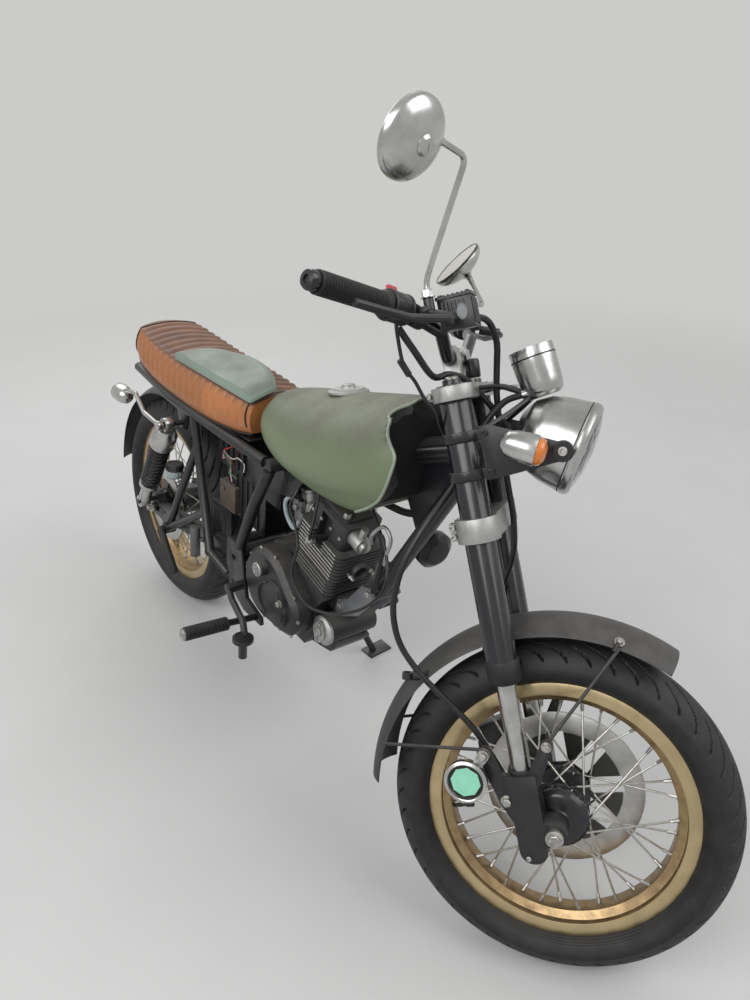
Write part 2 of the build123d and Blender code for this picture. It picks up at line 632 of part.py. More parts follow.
def rear_frame():
    """Seat rails, their rear loop, and the stays down to the foot rests."""
    rail = pipe([(583.5, -RAIL_Y, 671), (300, -RAIL_Y, 669), (110, -RAIL_Y, 672), (-120, -86, 694)], RAIL_R, 120)
    corner = (371, -PLATE_Y - 13, 345)
    stay_a = rod((242, -RAIL_Y - 2, 664), corner, 12) + Pos(*corner) * Sphere(14)
    stay_b = rod((266, -RAIL_Y - 5, 600), (140, -PLATE_Y - 16, 322), 11)
    stay_c = rod((330, -PLATE_Y - 5, 440), (128, -PLATE_Y - 17, 300), 11)
    stay_d = rod(corner, (455, -PLATE_Y - 6, 322), 11)
    lug = rod((132, -PLATE_Y - 1, 306), (132, -PLATE_Y - 30, 306), 16)
    shock_plate = plate([(150, 664), (215, 664), (200, 616), (165, 612)], -RAIL_Y - 6, -RAIL_Y)
    stud = rod((180, -RAIL_Y, 630), (180, -158, 630), 7)
    half = rail + stay_a + stay_b + stay_c + stay_d + lug + shock_plate + stud
    body = half + half.mirror(Plane.XZ)
    for x, z in ((420, 670), (60, 677), (-116, 693)):
        body = body + rod((x, -RAIL_Y + 4, z), (x, RAIL_Y - 4, z), 10)
    return body


ARM_Y = 94.0
BOBBIN_X = 70.0
BOBBIN_R = 3.4
BOBBIN_DEPTH = 18.0


def swingarm():
    body = rod((PIVOT_X, -PLATE_Y + 0.3, PIVOT_Z), (PIVOT_X, PLATE_Y - 0.3, PIVOT_Z), 22)
    for side in (1, -1):
        y0 = side * ARM_Y - 11
        y1 = side * ARM_Y + 11
        beam = plate([(PIVOT_X - 10, PIVOT_Z + 20), (40, AXLE_Z + 24), (-48, AXLE_Z + 24),
                      (-48, AXLE_Z - 24), (40, AXLE_Z - 24), (PIVOT_X - 10, PIVOT_Z - 20)], y0, y1)
        slot = plate([(-34, AXLE_Z + 9), (30, AXLE_Z + 9), (30, AXLE_Z - 9), (-34, AXLE_Z - 9)],
                     y0 - 5, y1 + 5)
        ear = plate([(-20, AXLE_Z + 22), (34, AXLE_Z + 22), (20, AXLE_Z + 44),
                     (-8, AXLE_Z + 44)], y0, y1)
        body = body + (beam - slot) + ear
        body = body + rod((5, side * ARM_Y, AXLE_Z + 28), (5, side * 158, AXLE_Z + 28), 7)
        body = body - rod((BOBBIN_X, side * (ARM_Y + 11 - BOBBIN_DEPTH), AXLE_Z + 10),
                          (BOBBIN_X, side * (ARM_Y + 20), AXLE_Z + 10), BOBBIN_R)
    body = body + rod((400, -ARM_Y, 372), (400, ARM_Y, 372), 16)
    return body - rod((PIVOT_X, -200, PIVOT_Z), (PIVOT_X, 200, PIVOT_Z), 8.2)


SHOCK_Y = 140.0
SHOCK_TOP = (180.0, 630.0)
SHOCK_LOW = (5.0, AXLE_Z + 28)


def shock_axis():
    low = Vector(SHOCK_LOW[0], -SHOCK_Y, SHOCK_LOW[1])
    top = Vector(SHOCK_TOP[0], -SHOCK_Y, SHOCK_TOP[1])
    return low, top, (top - low).normalized(), (top - low).length


def shock_damper():
    """Eyes, damper body, rod and the two chromed spring caps of the right unit."""
    low, top, up, length = shock_axis()
    body = None
    for p, r in ((low, 17), (top, 18)):
        eye = rod(p + Vector(0, -14, 0), p + Vector(0, 14, 0), r)
        body = eye if body is None else body + eye
    body = body + rod(low + up * 10, low + up * 92, 17) + rod(low + up * 85, top - up * 12, 9)
    body = body + rod(low + up * 78, low + up * 92, 27)
    cap = turned([(0, 0), (33, 0), (33, 40), (22, 62), (0, 66)], top - up * 80, up)
    body = body + cap
    for p in (low, top):
        body = body - rod(p + Vector(0, -40, 0), p + Vector(0, 40, 0), 7.2)
    return body


SPRING_TURNS = 11


def shock_spring():
    """The spring's closed envelope with a groove between each pair of coils."""
    low, top, up, length = shock_axis()
    start = 92.3
    end = length - 80.3
    pitch = (end - start) / SPRING_TURNS
    profile = [(10.5, 0)]
    for k in range(SPRING_TURNS):
        base = k * pitch
        profile += [(24, base), (28, base + pitch * 0.28), (28, base + pitch * 0.62), (24, base + pitch * 0.9)]
    profile += [(24, end - start), (10.5, end - start)]
    return turned(profile, low + up * start, up)


STARTER_X = 802.0
STARTER_Z = 340.0
STARTER_R = 34.0


def engine_case():
    outline = [(560, 330), (590, 290), (660, 268), (732, 262), (752, 290), (764, 376), (794, 412), (740, 434),
               (682, 447), (652, 456), (636, 480), (590, 470), (548, 420)]
    body = plate(outline, -CASE_HALF, CASE_HALF)
    body = body + plate([(760, 378), (782, 412), (842, 430), (848, 404), (810, 372)], -30.7, 30.7)
    lug = plate([(470, 300), (600, 300), (600, 330), (540, 345), (470, 330)], -60, 60)
    starter = rod((STARTER_X, -61.7, STARTER_Z), (STARTER_X, 60, STARTER_Z), STARTER_R)
    starter = starter + plate([(730, 262), (806, 276), (826, 300), (760, 330)], -44, 52)
    mouth = cylinder_plane(40) * extrude(RectangleRounded(118, 112, 14), amount=BARREL_START - 40.3)
    return body + lug + starter + mouth


def right_cover():
    """Clutch cover with its round raised boss and the oil filler."""
    outline = hull([(628, 380, 92), (702, 352, 62)], -118, -CASE_HALF - 0.3)
    outline = chamfer(outline.faces().sort_by(Axis.Y)[0].edges(), 12)
    body = outline + hull([(672, 368, 44), (700, 348, 34)], -130, -110)
    return body + rod((630, -134, 430), (630, -110, 430), 17)


def left_cover():
    body = rod((CRANK_X, CASE_HALF + 0.3, CRANK_Z), (CRANK_X, 116, CRANK_Z), 84)
    body = chamfer(body.faces().sort_by(Axis.Y)[-1].edges(), 12)
    sprocket_cover = hull([(COUNTER_X, COUNTER_Z, 52), (690, 372, 60)], CASE_HALF + 0.3, 100)
    tunnel = slab(440, COUNTER_X + 40, 60, 90, COUNTER_Z - 44, COUNTER_Z + 44)
    return body + (sprocket_cover - tunnel)


tilt = radians(CYL_TILT)
CYL_UP = Vector(sin(tilt), 0, cos(tilt))
CYL_FORWARD = Vector(cos(tilt), 0, -sin(tilt))


def cylinder_plane(height):
    return Plane(origin=Vector(CRANK_X, 0, CRANK_Z) + CYL_UP * height, x_dir=CYL_FORWARD, z_dir=CYL_UP)


def finned(start, count, pitch, thick, half_x, half_y, core_r, end):
    """A round core with square cooling fins round it."""
    body = cylinder_plane(start) * Cylinder(core_r, end - start, align=(Align.CENTER, Align.CENTER, Align.MIN))
    for k in range(count):
        fin = extrude(RectangleRounded(2 * half_x, 2 * half_y, 18), amount=thick)
        body = body + cylinder_plane(start + 3 + k * pitch) * fin
    return body


BARREL_START = 72.0
BARREL_END = 118.0
FINS_END = 200.0
HEAD_END = 256.0
PORT_R = 16.5
PORT_HEIGHT = 142.5
CAM_BOX_X = 124.0
CAM_BOX_Y = 104.0
CARB_X = 632.0
CARB_Z = 562.0
CARB_TOP = 48.0


def cylinder_head():
    """The finned head, its cam box, and the open exhaust port at the front."""
    body = finned(BARREL_END + 0.3, 8, 9.8, 3.4, 80, 66, 56, FINS_END)
    box = extrude(RectangleRounded(CAM_BOX_X, CAM_BOX_Y, 16), amount=HEAD_END - FINS_END + 6)
    body = body + cylinder_plane(FINS_END - 6) * box
    rocker = extrude(RectangleRounded(92, 84, 14), amount=12)
    body = body + cylinder_plane(HEAD_END) * rocker
    pocket = cylinder_plane(BARREL_END + 48) * (Pos(-4, -66, 0) * Box(40, 66, 80, align=(
        Align.CENTER, Align.CENTER, Align.MIN)))
    forward = Rot(0, 92, 0)
    port = Pos(40, 0, 0) * (forward * Cylinder(22, 50, align=(Align.CENTER, Align.CENTER, Align.MIN)))
    bore = Pos(52, 0, 0) * (forward * Cylinder(PORT_R, 60, align=(Align.CENTER, Align.CENTER, Align.MIN)))
    at_port = cylinder_plane(PORT_HEIGHT)
    return (body - pocket + at_port * port) - at_port * bore


def intake_seat():
    """The head's rear outline with the gap that the intake stub is seated at."""
    return cylinder_plane(BARREL_END) * extrude(Rectangle(160 + 2 * FIT_GAP, 132), amount=FINS_END - BARREL_END)


def carburettor():
    """Intake stub, body, float bowl, slide top and the hose to the air box."""
    start = point_at(cylinder_plane(BARREL_END + 44).location, (-70, 0, 0))
    back = Vector(CARB_X, 0, CARB_Z)
    body = rod(start, back + Vector(30, 0, 0), 19) + rod(back + Vector(34, 0, 2), back + Vector(-36, 0, 0), 25)
    bowl = slab(CARB_X - 26, CARB_X + 22, -26, 26, CARB_Z - 56, CARB_Z - 10)
    top = rod(back, back + Vector(0, 0, CARB_TOP), 23)
    hose = rod(back - Vector(30, 0, 0), (570, 0, CARB_Z + 4), 22) - slab(500, 584.3, -60, 60, 400, 700)
    return body + bowl + top + hose - intake_seat()


def air_valve():
    """The valve on the cam box's front with its elbow."""
    at_front = cylinder_plane(HEAD_END - 22)
    near = point_at(at_front.location, (CAM_BOX_X / 2 + 0.3, -24, 0))
    end = point_at(at_front.location, (CAM_BOX_X / 2 + 34, -24, 0))
    rise = point_at(at_front.location, (CAM_BOX_X / 2 + 24, -24, 40))
    return rod(near, end, 19) + rod(end, end + (end - near) * 0.3, 12) + rod((near + end) / 2, rise, 8)


def engine_mounts():
    """The right one of the two plates from the down tube to the case."""
    return plate([(800, 384), (806, 414), (842, 434), (884, 490), (916, 500), (932, 478), (880, 412), (826, 380)],
                 -36, -31)


def starter_cap():
    cap = [(0, 0), (35, 0), (35, 6), (28, 12), (10, 14), (0, 14)]
    return turned(cap, (STARTER_X, -62, STARTER_Z), (0, -1, 0))


CAP_CENTRE = (745.0, 0.0, 866.0)
CAP_R = 43.0
CAP_AXIS = (-0.2, 0.0, 0.98)
TUNNEL_R = BACKBONE_R + 9

# Tank sections: x, half width, top height, bottom height
TANK_SECTIONS = [(500, 42, 790, 716), (540, 84, 816, 706), (620, 116, 842, 694), (730, 138, 868, 684),
                 (850, 149, 900, 686), (950, 150, 926, 706), (1012, 143, 938, 744), (1054, 128, 940, 800)]


def tank_section(x, half, top, low):
    """One closed section of arcs and lines: round back, full flanks, flat belly."""
    shoulder = 0.62 * half
    spread = radians(52)
    back_r = shoulder + (half - shoulder) / sin(spread)
    c1 = top - back_r
    c2y = (back_r - shoulder) * sin(spread)
    c2z = c1 + (back_r - shoulder) * cos(spread)
    tuck = radians(38)
    join = (c2y + shoulder * sin(spread), c2z + shoulder * cos(spread))
    widest = (c2y + shoulder * cos(0.1), c2z + shoulder * sin(0.1))
    hem = (c2y + shoulder * cos(tuck), c2z - shoulder * sin(tuck))
    hem = (hem[0], max(hem[1], low + 6))
    foot = (0.62 * half, low)

    def at(y, z):
        return (x, y, z)

    return make_face([ThreePointArc(at(-join[0], join[1]), at(0, top), at(*join)),
                      ThreePointArc(at(*join), at(*widest), at(*hem)),
                      Polyline(at(*hem), at(*foot), at(-foot[0], foot[1]), at(-hem[0], hem[1])),
                      ThreePointArc(at(-hem[0], hem[1]), at(-widest[0], widest[1]), at(-join[0], join[1]))])


def fuel_tank():
    body = loft([tank_section(*row) for row in TANK_SECTIONS])
    spine = Vector(SPINE_REAR_X, 0, SPINE_REAR_Z)
    along = SPINE_FRONT - spine
    front = spine + along * 1.3
    rear = spine - along * 0.3
    tunnel = plate([(rear.X, 600), (rear.X, rear.Z), (front.X, front.Z), (front.X, 600)], -TUNNEL_R, TUNNEL_R)
    body = body - tunnel - rod(rear, front, TUNNEL_R)
    # the recess that leaves the fork tubes and clamps their swing
    swing = Cylinder(84, 600) + (Cylinder(132, 600) & Pos(155, 0, 0) * Box(400, 300, 600))
    for side in (1, -1):
        at_stop = Rot(0, 0, side * STEER_REST) * Pos(LEG_X + STEER_OFFSET, side * LEG_Y, 0)
        swing = swing + at_stop * Cylinder(OUTER_R + 12, 600)
        for low, high in ((-300, LOWER_CLAMP_Z + LOWER_CLAMP_H + 7 - 650), (TOP_CLAMP_Z - 7 - 650, 300)):
            lug = Cylinder(52, high - low)
            swing = swing + at_stop * Pos(0, 0, (low + high) / 2) * lug
    cutter = Plane(origin=steer_axis_point(650), x_dir=FORK_FORWARD, z_dir=STEER_UP) * swing
    body = body - cutter
    cap = Vector(*CAP_CENTRE)
    body = body - rod(cap - Vector(*CAP_AXIS) * 0.3, cap + Vector(*CAP_AXIS) * 60, CAP_R + 0.5)
    return max(body.solids(), key=lambda s: s.volume)


def fuel_cap():
    cap = [(0, 0), (CAP_R - 6, 0), (CAP_R, 4), (CAP_R, 8), (CAP_R - 8, 12), (16, 14), (14, 18), (0, 18)]
    return turned(cap, CAP_CENTRE, CAP_AXIS)


# Seat sections: x, half width, top height, bottom height
SEAT_SECTIONS = [(496, 84, 786, 704), (440, 98, 790, 696), (300, 108, 795, 686), (120, 112, 800, 690),
                 (-20, 108, 812, 701), (-110, 94, 820, 716), (-180, 60, 800, 744)]


def seat_section(x, half, top, low):
    crown = top - 14
    return make_face([ThreePointArc((x, -half * 0.86, crown), (x, 0, top), (x, half * 0.86, crown)),
                      ThreePointArc((x, half * 0.86, crown), (x, half, (crown + low) / 2 + 8), (x, half * 0.9, low)),
                      Line((x, half * 0.9, low), (x, -half * 0.9, low)),
                      ThreePointArc((x, -half * 0.9, low), (x, -half, (crown + low) / 2 + 8),
                                    (x, -half * 0.86, crown))])


def seat():
    body = loft([seat_section(*row) for row in SEAT_SECTIONS])
    return body


# Side cover outline, as (along, up) from its rear lower corner
COVER_LENGTH = 380.0
COVER_HEIGHT = 122.0
COVER_DEPTH = 24.0
COVER_WALL = 3.0
COVER_EDGE = 7.0


def cover_outline(inset, height):
    """The cover's D-shaped outline, drawn in by an inset, at a height above its rim."""
    corner, heel = (inset, inset), (COVER_LENGTH - inset, inset)
    toe, shoulder = (COVER_LENGTH - 12 - inset, 78 - inset / 2), (120 + inset / 3, 104 - inset)
    edges = [Line(corner, heel), Line(heel, toe),
             ThreePointArc(toe, (250, COVER_HEIGHT - inset), shoulder),
             ThreePointArc(shoulder, (30 + inset, 62 - inset / 2), corner)]
    return Pos(0, 0, height) * make_face(edges)


def side_cover():
    """A D-shaped pressed cover, hollow behind, lying in its own XY plane, outside up."""
    shoulder_height = COVER_DEPTH - COVER_EDGE
    outer = loft([cover_outline(0, 0), cover_outline(0, shoulder_height),
                  cover_outline(COVER_EDGE, COVER_DEPTH)], ruled=True)
    inner = loft([cover_outline(COVER_WALL, 0), cover_outline(COVER_WALL, shoulder_height),
                  cover_outline(COVER_EDGE + COVER_WALL, COVER_DEPTH - COVER_WALL)], ruled=True)
    return outer - inner


def side_covers():
    fitted = Pos(600, 127.5, 520) * (Rot(0, 0, 180) * (Rot(90, 0, 0) * side_cover()))
    loose = Pos(135, -98, 792) * (Rot(14, 0, 0) * side_cover())
    return group(fitted, loose)


REAR_GUARD_R = REAR_TYRE_R + 37.0


def rear_mudguard():
    guard = Pos(0, 0, AXLE_Z) * arched_guard(REAR_GUARD_R, REAR_GUARD_R - 26, REAR_TYRE_HALF + 6, FENDER_T, 70, 176)
    tab = slab(30, 80, -30, 30, AXLE_Z + REAR_GUARD_R - 12, 666.7)
    return guard + tab


def tail_light():
    body = turned([(0, 0), (30, 0), (34, 6), (34, 22), (24, 30), (0, 32)], (-150, 0, 686), (-0.96, 0, 0.28))
    return body + slab(-160, -126.3, -10, 10, 672, 700)


def rear_indicator():
    stem = pipe([(183, -167, 634), (100, -169, 640), (46, -168, 676), (-30, -163, 660)], 6, 14)
    lug = rod((180, -158.3, 630), (180, -172, 630), 13)
    return stem + lug + indicator((-62, -160, 640), (-1, 0, 0))


def foot_pegs():
    """Right rider's and passenger's foot rests."""
    rider = rod((598, -119.2, 276), (598, -200, 284), 8)
    rubber = rod((598, -196, 284), (598, -306, 292), 15)
    passenger = rod((132, -138.3, 306), (132, -150, 306), 9)
    folded = rod((132, -148, 306), (236, -156, 222), 10)
    return group(rider + rubber, passenger + folded)


def foot_levers():
    """Brake pedal on the right and gear lever on the left."""
    pivot = rod((530, -118.3, 330), (530, -160, 330), 12)
    arm = pipe([(530, -154, 330), (556, -160, 314), (640, -178, 308), (700, -206, 308)], 8, 20)
    pad = rod((704, -214, 306), (704, -214, 314), 24) + rod((704, -214, 262), (704, -214, 306), 10)
    pedal = pivot + arm + pad
    shaft = rod((640, CASE_HALF + FIT_GAP, 300), (640, 146, 300), 8)
    lever = rod((640, 138, 300), (746, 150, 306), 7) + rod((746, 140, 306), (746, 196, 306), 10)
    return group(pedal, shaft + lever)


def rear_brake():
    """Rear caliper over the disc, and the foot brake's cylinder with its reservoir."""
    caliper = plate([(40, AXLE_Z + 60), (120, AXLE_Z + 44), (128, AXLE_Z + 100),
                     (60, AXLE_Z + 120)], -82.7, -52)
    caliper = caliper - slab(0, 200, REAR_DISC_Y - 5, REAR_DISC_Y + 10, 300, 600)
    caliper = max(caliper.solids(), key=lambda s: s.volume)
    master = rod((338, -146, 326), (338, -146, 408), 13) + rod((338, -146, 372), (350.6, -129.0, 372), 6)
    pot = rod((158, -114, 470), (158, -114, 508), 22) + rod((172, -112, 486), (197, -111, 486), 5)
    return group(master, pot)


def horn():
    face = [(0, 0), (36, 0), (40, 6), (40, 22), (26, 34), (0, 34)]
    seat = on_down_tube(597)
    body = turned(face, (seat - 6, 68, 600), (0.92, -0.1, -0.1))
    return body + rod((seat - 8, 60, 600), (seat, 18.0, 597), 5)


def airbox():
    body = slab(340, 520, -52, 52, 440, 560) + slab(400, 584, -52, 52, 540, 612)
    for k in range(6):
        body = body + slab(352 + 26 * k, 360 + 26 * k, -56, 56, 446, 554)
    return body


def rear_axle():
    pin = rod((0, -128, AXLE_Z), (0, 128, AXLE_Z), AXLE_R)
    return pin + rod((0, -118, AXLE_Z), (0, -105.3, AXLE_Z), 15) + rod((0, 105.3, AXLE_Z),
                                                                                (0, 118, AXLE_Z), 15)


def side_stand():
    pivot = point_at(chassis_place, STAND_PIVOT)
    axis = stand_axis()
    foot = Vector(STAND_FOOT[0], STAND_FOOT[1], 5)
    leg = rod(pivot, foot, 9)
    shoe = Pos(foot.X, foot.Y + 12, 2.5) * Box(46, 70, 5)
    eye = rod(pivot - axis * STAND_EYE_HALF, pivot + axis * STAND_EYE_HALF, STAND_EYE_R)
    bore = rod(pivot - axis * 20, pivot + axis * 20, STAND_PIN_R + FIT_GAP)
    return leg + shoe + eye - bore


# node name, shape, frame it is drawn in
FORK = fork_place
CHASSIS = chassis_place
GROUND = Pos(0, 0, 0)
REAR_WHEEL = chassis_place * Pos(0, 0, AXLE_Z)


def build():
    """Every node, in the frame that it is drawn in."""
    front_disc = brake_disc(FRONT_DISC_R, 108, 40, FRONT_DISC_Y, 5, 8)
    rear_disc = brake_disc(REAR_DISC_R, 78, 40, REAR_DISC_Y, 5, 6)
    rear_sprocket = Pos(0, SPROCKET_Y + SPROCKET_T / 2, 0) * sprocket(REAR_TEETH, 27)
    return {
        "front_tyre": (tyre(FRONT_TYRE_R, FRONT_TREAD_R, FRONT_TYRE_HALF, FRONT_RIM_HALF), FORK),
        "front_rim": (rim(FRONT_RIM_HALF), FORK),
        "front_hub": (front_hub, FORK),
        "front_brake_disc": (front_disc, FORK),
        "rear_tyre": (tyre(REAR_TYRE_R, REAR_TREAD_R, REAR_TYRE_HALF, REAR_RIM_HALF), REAR_WHEEL),
        "rear_rim": (rim(REAR_RIM_HALF), REAR_WHEEL),
        "rear_hub": (rear_hub, REAR_WHEEL),
        "rear_brake_disc": (rear_disc, REAR_WHEEL),
        "rear_sprocket": (rear_sprocket, REAR_WHEEL),
        "fork_feet": (both(fork_foot()), FORK),
        "fork_outer_tubes": (both(outer_tube()), FORK),
        "fork_stanchions": (both(rod((LEG_X, -LEG_Y, FOOT_TOP - 29.7), (LEG_X, -LEG_Y, OUTER_LOW + 100),
                                     STANCHION_R)), FORK),
        "steering_stem": (lower_clamp(), FORK),
        "top_clamp": (top_clamp(), FORK),
        "front_axle": (front_axle(), FORK),
        "speedometer_drive": (speedometer_drive(), FORK),
        "front_caliper": (front_caliper(), FORK),
        "front_mudguard": (front_mudguard(), FORK),
        "permit_holder": (permit_holder(), FORK),
        "handlebar": (handlebar(), FORK),
        "grips": (both(grip()), FORK),
        "hand_controls": (group(both(switch_pod()), lever_set(True), lever_set(False).mirror(Plane.XZ)), FORK),
        "mirrors": (group(mirror_set(-1), mirror_set(1)), FORK),
        "headlight_shell": (group(headlight(), headlight_rim()), FORK),
        "headlight_glass": (headlight_glass(), FORK),
        "headlight_ears": (both(headlight_ear()), FORK),
        "gauge": (gauge(), FORK),
        "front_indicators": (both(indicator(FRONT_INDICATOR, (0.9, 0, -0.43))
                                  + rod((62, -118, 650), (62, -108.3, 650), 7)), FORK),
        "speedometer_cable": (cord(SPEEDO_ROUTE, 5.5), FORK),
        "front_brake_hose": (cord(HOSE_ROUTE, 5.5), FORK),
        "main_frame": (head_and_spine(), CHASSIS),
        "seat_tubes": (both(seat_tube_and_plate()) + stand_pin(), CHASSIS),
        "rear_frame": (rear_frame(), CHASSIS),
        "swingarm": (swingarm(), CHASSIS),
        "rear_axle": (rear_axle(), CHASSIS),
        "shock_dampers": (both(shock_damper()), CHASSIS),
        "shock_springs": (both(shock_spring()), CHASSIS),
        "drive_chain": (chain_loop(), CHASSIS),
        "engine_case": (engine_case(), CHASSIS),
        "engine_covers": (group(right_cover(), left_cover()), CHASSIS),
        "cylinder_barrel": (finned(BARREL_START, 4, 10.4, 3.2, 74, 66, 46, BARREL_END), CHASSIS),
        "cylinder_head": (cylinder_head(), CHASSIS),
        "engine_mounts": (both(engine_mounts()), CHASSIS),
        "carburettor": (carburettor(), CHASSIS),
        "air_valve": (air_valve(), CHASSIS),
        "starter_cap": (starter_cap(), CHASSIS),
        "airbox": (airbox(), CHASSIS),
        "fuel_tank": (fuel_tank(), CHASSIS),
        "fuel_cap": (fuel_cap(), CHASSIS),
        "seat": (seat(), CHASSIS),
        "side_covers": (side_covers(), CHASSIS),
        "rear_mudguard": (rear_mudguard(), CHASSIS),
        "tail_light": (tail_light(), CHASSIS),
        "rear_indicators": (both(rear_indicator()), CHASSIS),
        "foot_pegs": (both(foot_pegs()), CHASSIS),
        "foot_levers": (foot_levers(), CHASSIS),
        "rear_brake": (rear_brake(), CHASSIS),
        "horn": (horn(), CHASSIS),
        "side_stand": (side_stand(), GROUND),
    }


drawn = build()
placed = {}
for name, (shape, place) in drawn.items():
    placed[name] = Compound([place * s for s in shape.solids()])

# The model's origin: the bottom centre of its box
boxes = [shape.bounding_box(optimal=False) for shape in placed.values()]
low = Vector(min(b.min.X for b in boxes), min(b.min.Y for b in boxes), 0)
high = Vector(max(b.max.X for b in boxes), max(b.max.Y for b in boxes), 0)
ORIGIN = (low + high) / 2

os.makedirs("parts", exist_ok=True)
for name, shape in placed.items():
    export_step(Pos(-ORIGIN.X, -ORIGIN.Y, 0) * shape, "parts/" + name + ".step")
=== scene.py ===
import json
import random
from math import acos, asin, atan2, copysign, cos, exp, pi, radians, sin, sqrt

import bpy
import bmesh
from mathutils import Matrix, Vector
from mathutils.bvhtree import BVHTree


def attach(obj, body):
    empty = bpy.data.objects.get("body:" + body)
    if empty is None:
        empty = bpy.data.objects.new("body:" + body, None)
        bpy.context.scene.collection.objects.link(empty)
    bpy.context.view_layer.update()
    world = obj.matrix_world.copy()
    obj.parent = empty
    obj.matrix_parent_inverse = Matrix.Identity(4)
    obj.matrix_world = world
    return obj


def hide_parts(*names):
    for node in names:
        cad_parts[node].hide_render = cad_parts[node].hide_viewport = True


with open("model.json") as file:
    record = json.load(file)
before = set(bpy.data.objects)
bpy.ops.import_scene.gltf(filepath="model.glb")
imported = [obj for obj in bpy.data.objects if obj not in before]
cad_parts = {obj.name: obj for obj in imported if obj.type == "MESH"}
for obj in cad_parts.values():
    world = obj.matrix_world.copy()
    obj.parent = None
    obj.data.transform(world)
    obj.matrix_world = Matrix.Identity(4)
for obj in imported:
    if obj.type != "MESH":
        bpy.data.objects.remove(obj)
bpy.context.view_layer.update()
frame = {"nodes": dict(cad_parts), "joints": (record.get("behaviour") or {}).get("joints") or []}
nodes = frame["nodes"]

# A cafe racer motorcycle, leaning on its side stand. Pieces are drawn in millimetres in a working
# frame and put into the model in metres:
#   CHASSIS: X forward, Y left, Z up, origin on the ground under the rear axle
#   REAR_WHEEL: as CHASSIS, with its origin at the rear axle
#   FORK: origin at the front axle, Z up along the steering axis, Y left, X forward
#   FORK_STRAIGHT: the same with the wheel straight ahead
#   BARREL: origin at the crankshaft, Z up along the tilted cylinder

MM = 0.001
# In metres: points this near become one
SAME_POINT = 0.00004
TURN = 2 * pi
AHEAD, LEFT, RIGHT, UP = (1, 0, 0), (0, 1, 0), (0, -1, 0), (0, 0, 1)
RAKE = radians(25.7)
STEER_OFFSET = 54.3
STEER_REST = 35.0
REAR_TYRE_R = 311.0
FRONT_TYRE_R = 306.0
FRONT_TREAD_R = 57.0
REAR_TREAD_R = 62.0
FRONT_TYRE_HALF = 54.5
REAR_TYRE_HALF = 60.0
FRONT_RIM_HALF = 34.5
REAR_RIM_HALF = 40.0
FLANGE_R = 236.0
WELL_R = 203.0
SPOKES_PER_SIDE = 18
SPOKE_CROSS = 57.0
LEG_X = -40.0
LEG_Y = 95.0
OUTER_R = 26.0
OUTER_LOW = 271.0
OUTER_TOP = 768.0
LOWER_CLAMP_Z = 508.0
TOP_CLAMP_Z = 742.0
CRANK_X = 712.0
CRANK_Z = 372.0
CYL_TILT = radians(15.0)

joints = {joint["name"]: joint for joint in frame["joints"]}


def working_frame(forward, left, up, origin):
    """The matrix from millimetres in a working frame to metres in the model."""
    place = Matrix.Identity(4)
    for column, axis in enumerate((forward, left, up)):
        for row in range(3):
            place[row][column] = axis[row] * MM
    for row in range(3):
        place[row][3] = origin[row]
    return place


steer_up = Vector(joints["steering"]["axis"]).normalized()
fork_left = Vector(joints["front_wheel_spin"]["axis"]).normalized()
FORK = working_frame(fork_left.cross(steer_up), fork_left, steer_up, joints["front_wheel_spin"]["pos_m"])
chassis_left = Vector(joints["rear_wheel_spin"]["axis"]).normalized()
ahead = chassis_left.cross(steer_up)
chassis_forward = cos(RAKE) * ahead - sin(RAKE) * steer_up
chassis_up = sin(RAKE) * ahead + cos(RAKE) * steer_up
rear_axle = Vector(joints["rear_wheel_spin"]["pos_m"])
CHASSIS = working_frame(chassis_forward, chassis_left, chassis_up, rear_axle - chassis_up * REAR_TYRE_R * MM)
REAR_WHEEL = CHASSIS @ Matrix.Translation((0, 0, REAR_TYRE_R))
BARREL = CHASSIS @ Matrix.Translation((CRANK_X, 0, CRANK_Z)) @ Matrix.Rotation(CYL_TILT, 4, "Y")
FRONT_AXLE = Vector((1428.0, 0, FRONT_TYRE_R))
FORK_STRAIGHT = CHASSIS @ Matrix.Translation(FRONT_AXLE) @ Matrix.Rotation(-RAKE, 4, "Y")

# A working frame and the body that its pieces ride on
ON_CHASSIS = (CHASSIS, "chassis")
ON_BARREL = (BARREL, "chassis")
ON_FORK = (FORK, "fork")
ON_FRONT_WHEEL = (FORK, "front_wheel")
ON_REAR_WHEEL = (REAR_WHEEL, "rear_wheel")


def angles(count, start=0.0):
    """Equal steps once round."""
    return [start + TURN * k / count for k in range(count)]


def clamp(value):
    """The value held between 0 and 1."""
    return max(0.0, min(1.0, value))


def facing(axis):
    """The turn that brings Z to an axis."""
    return Vector(axis).to_track_quat("Z", "Y").to_matrix().to_4x4()


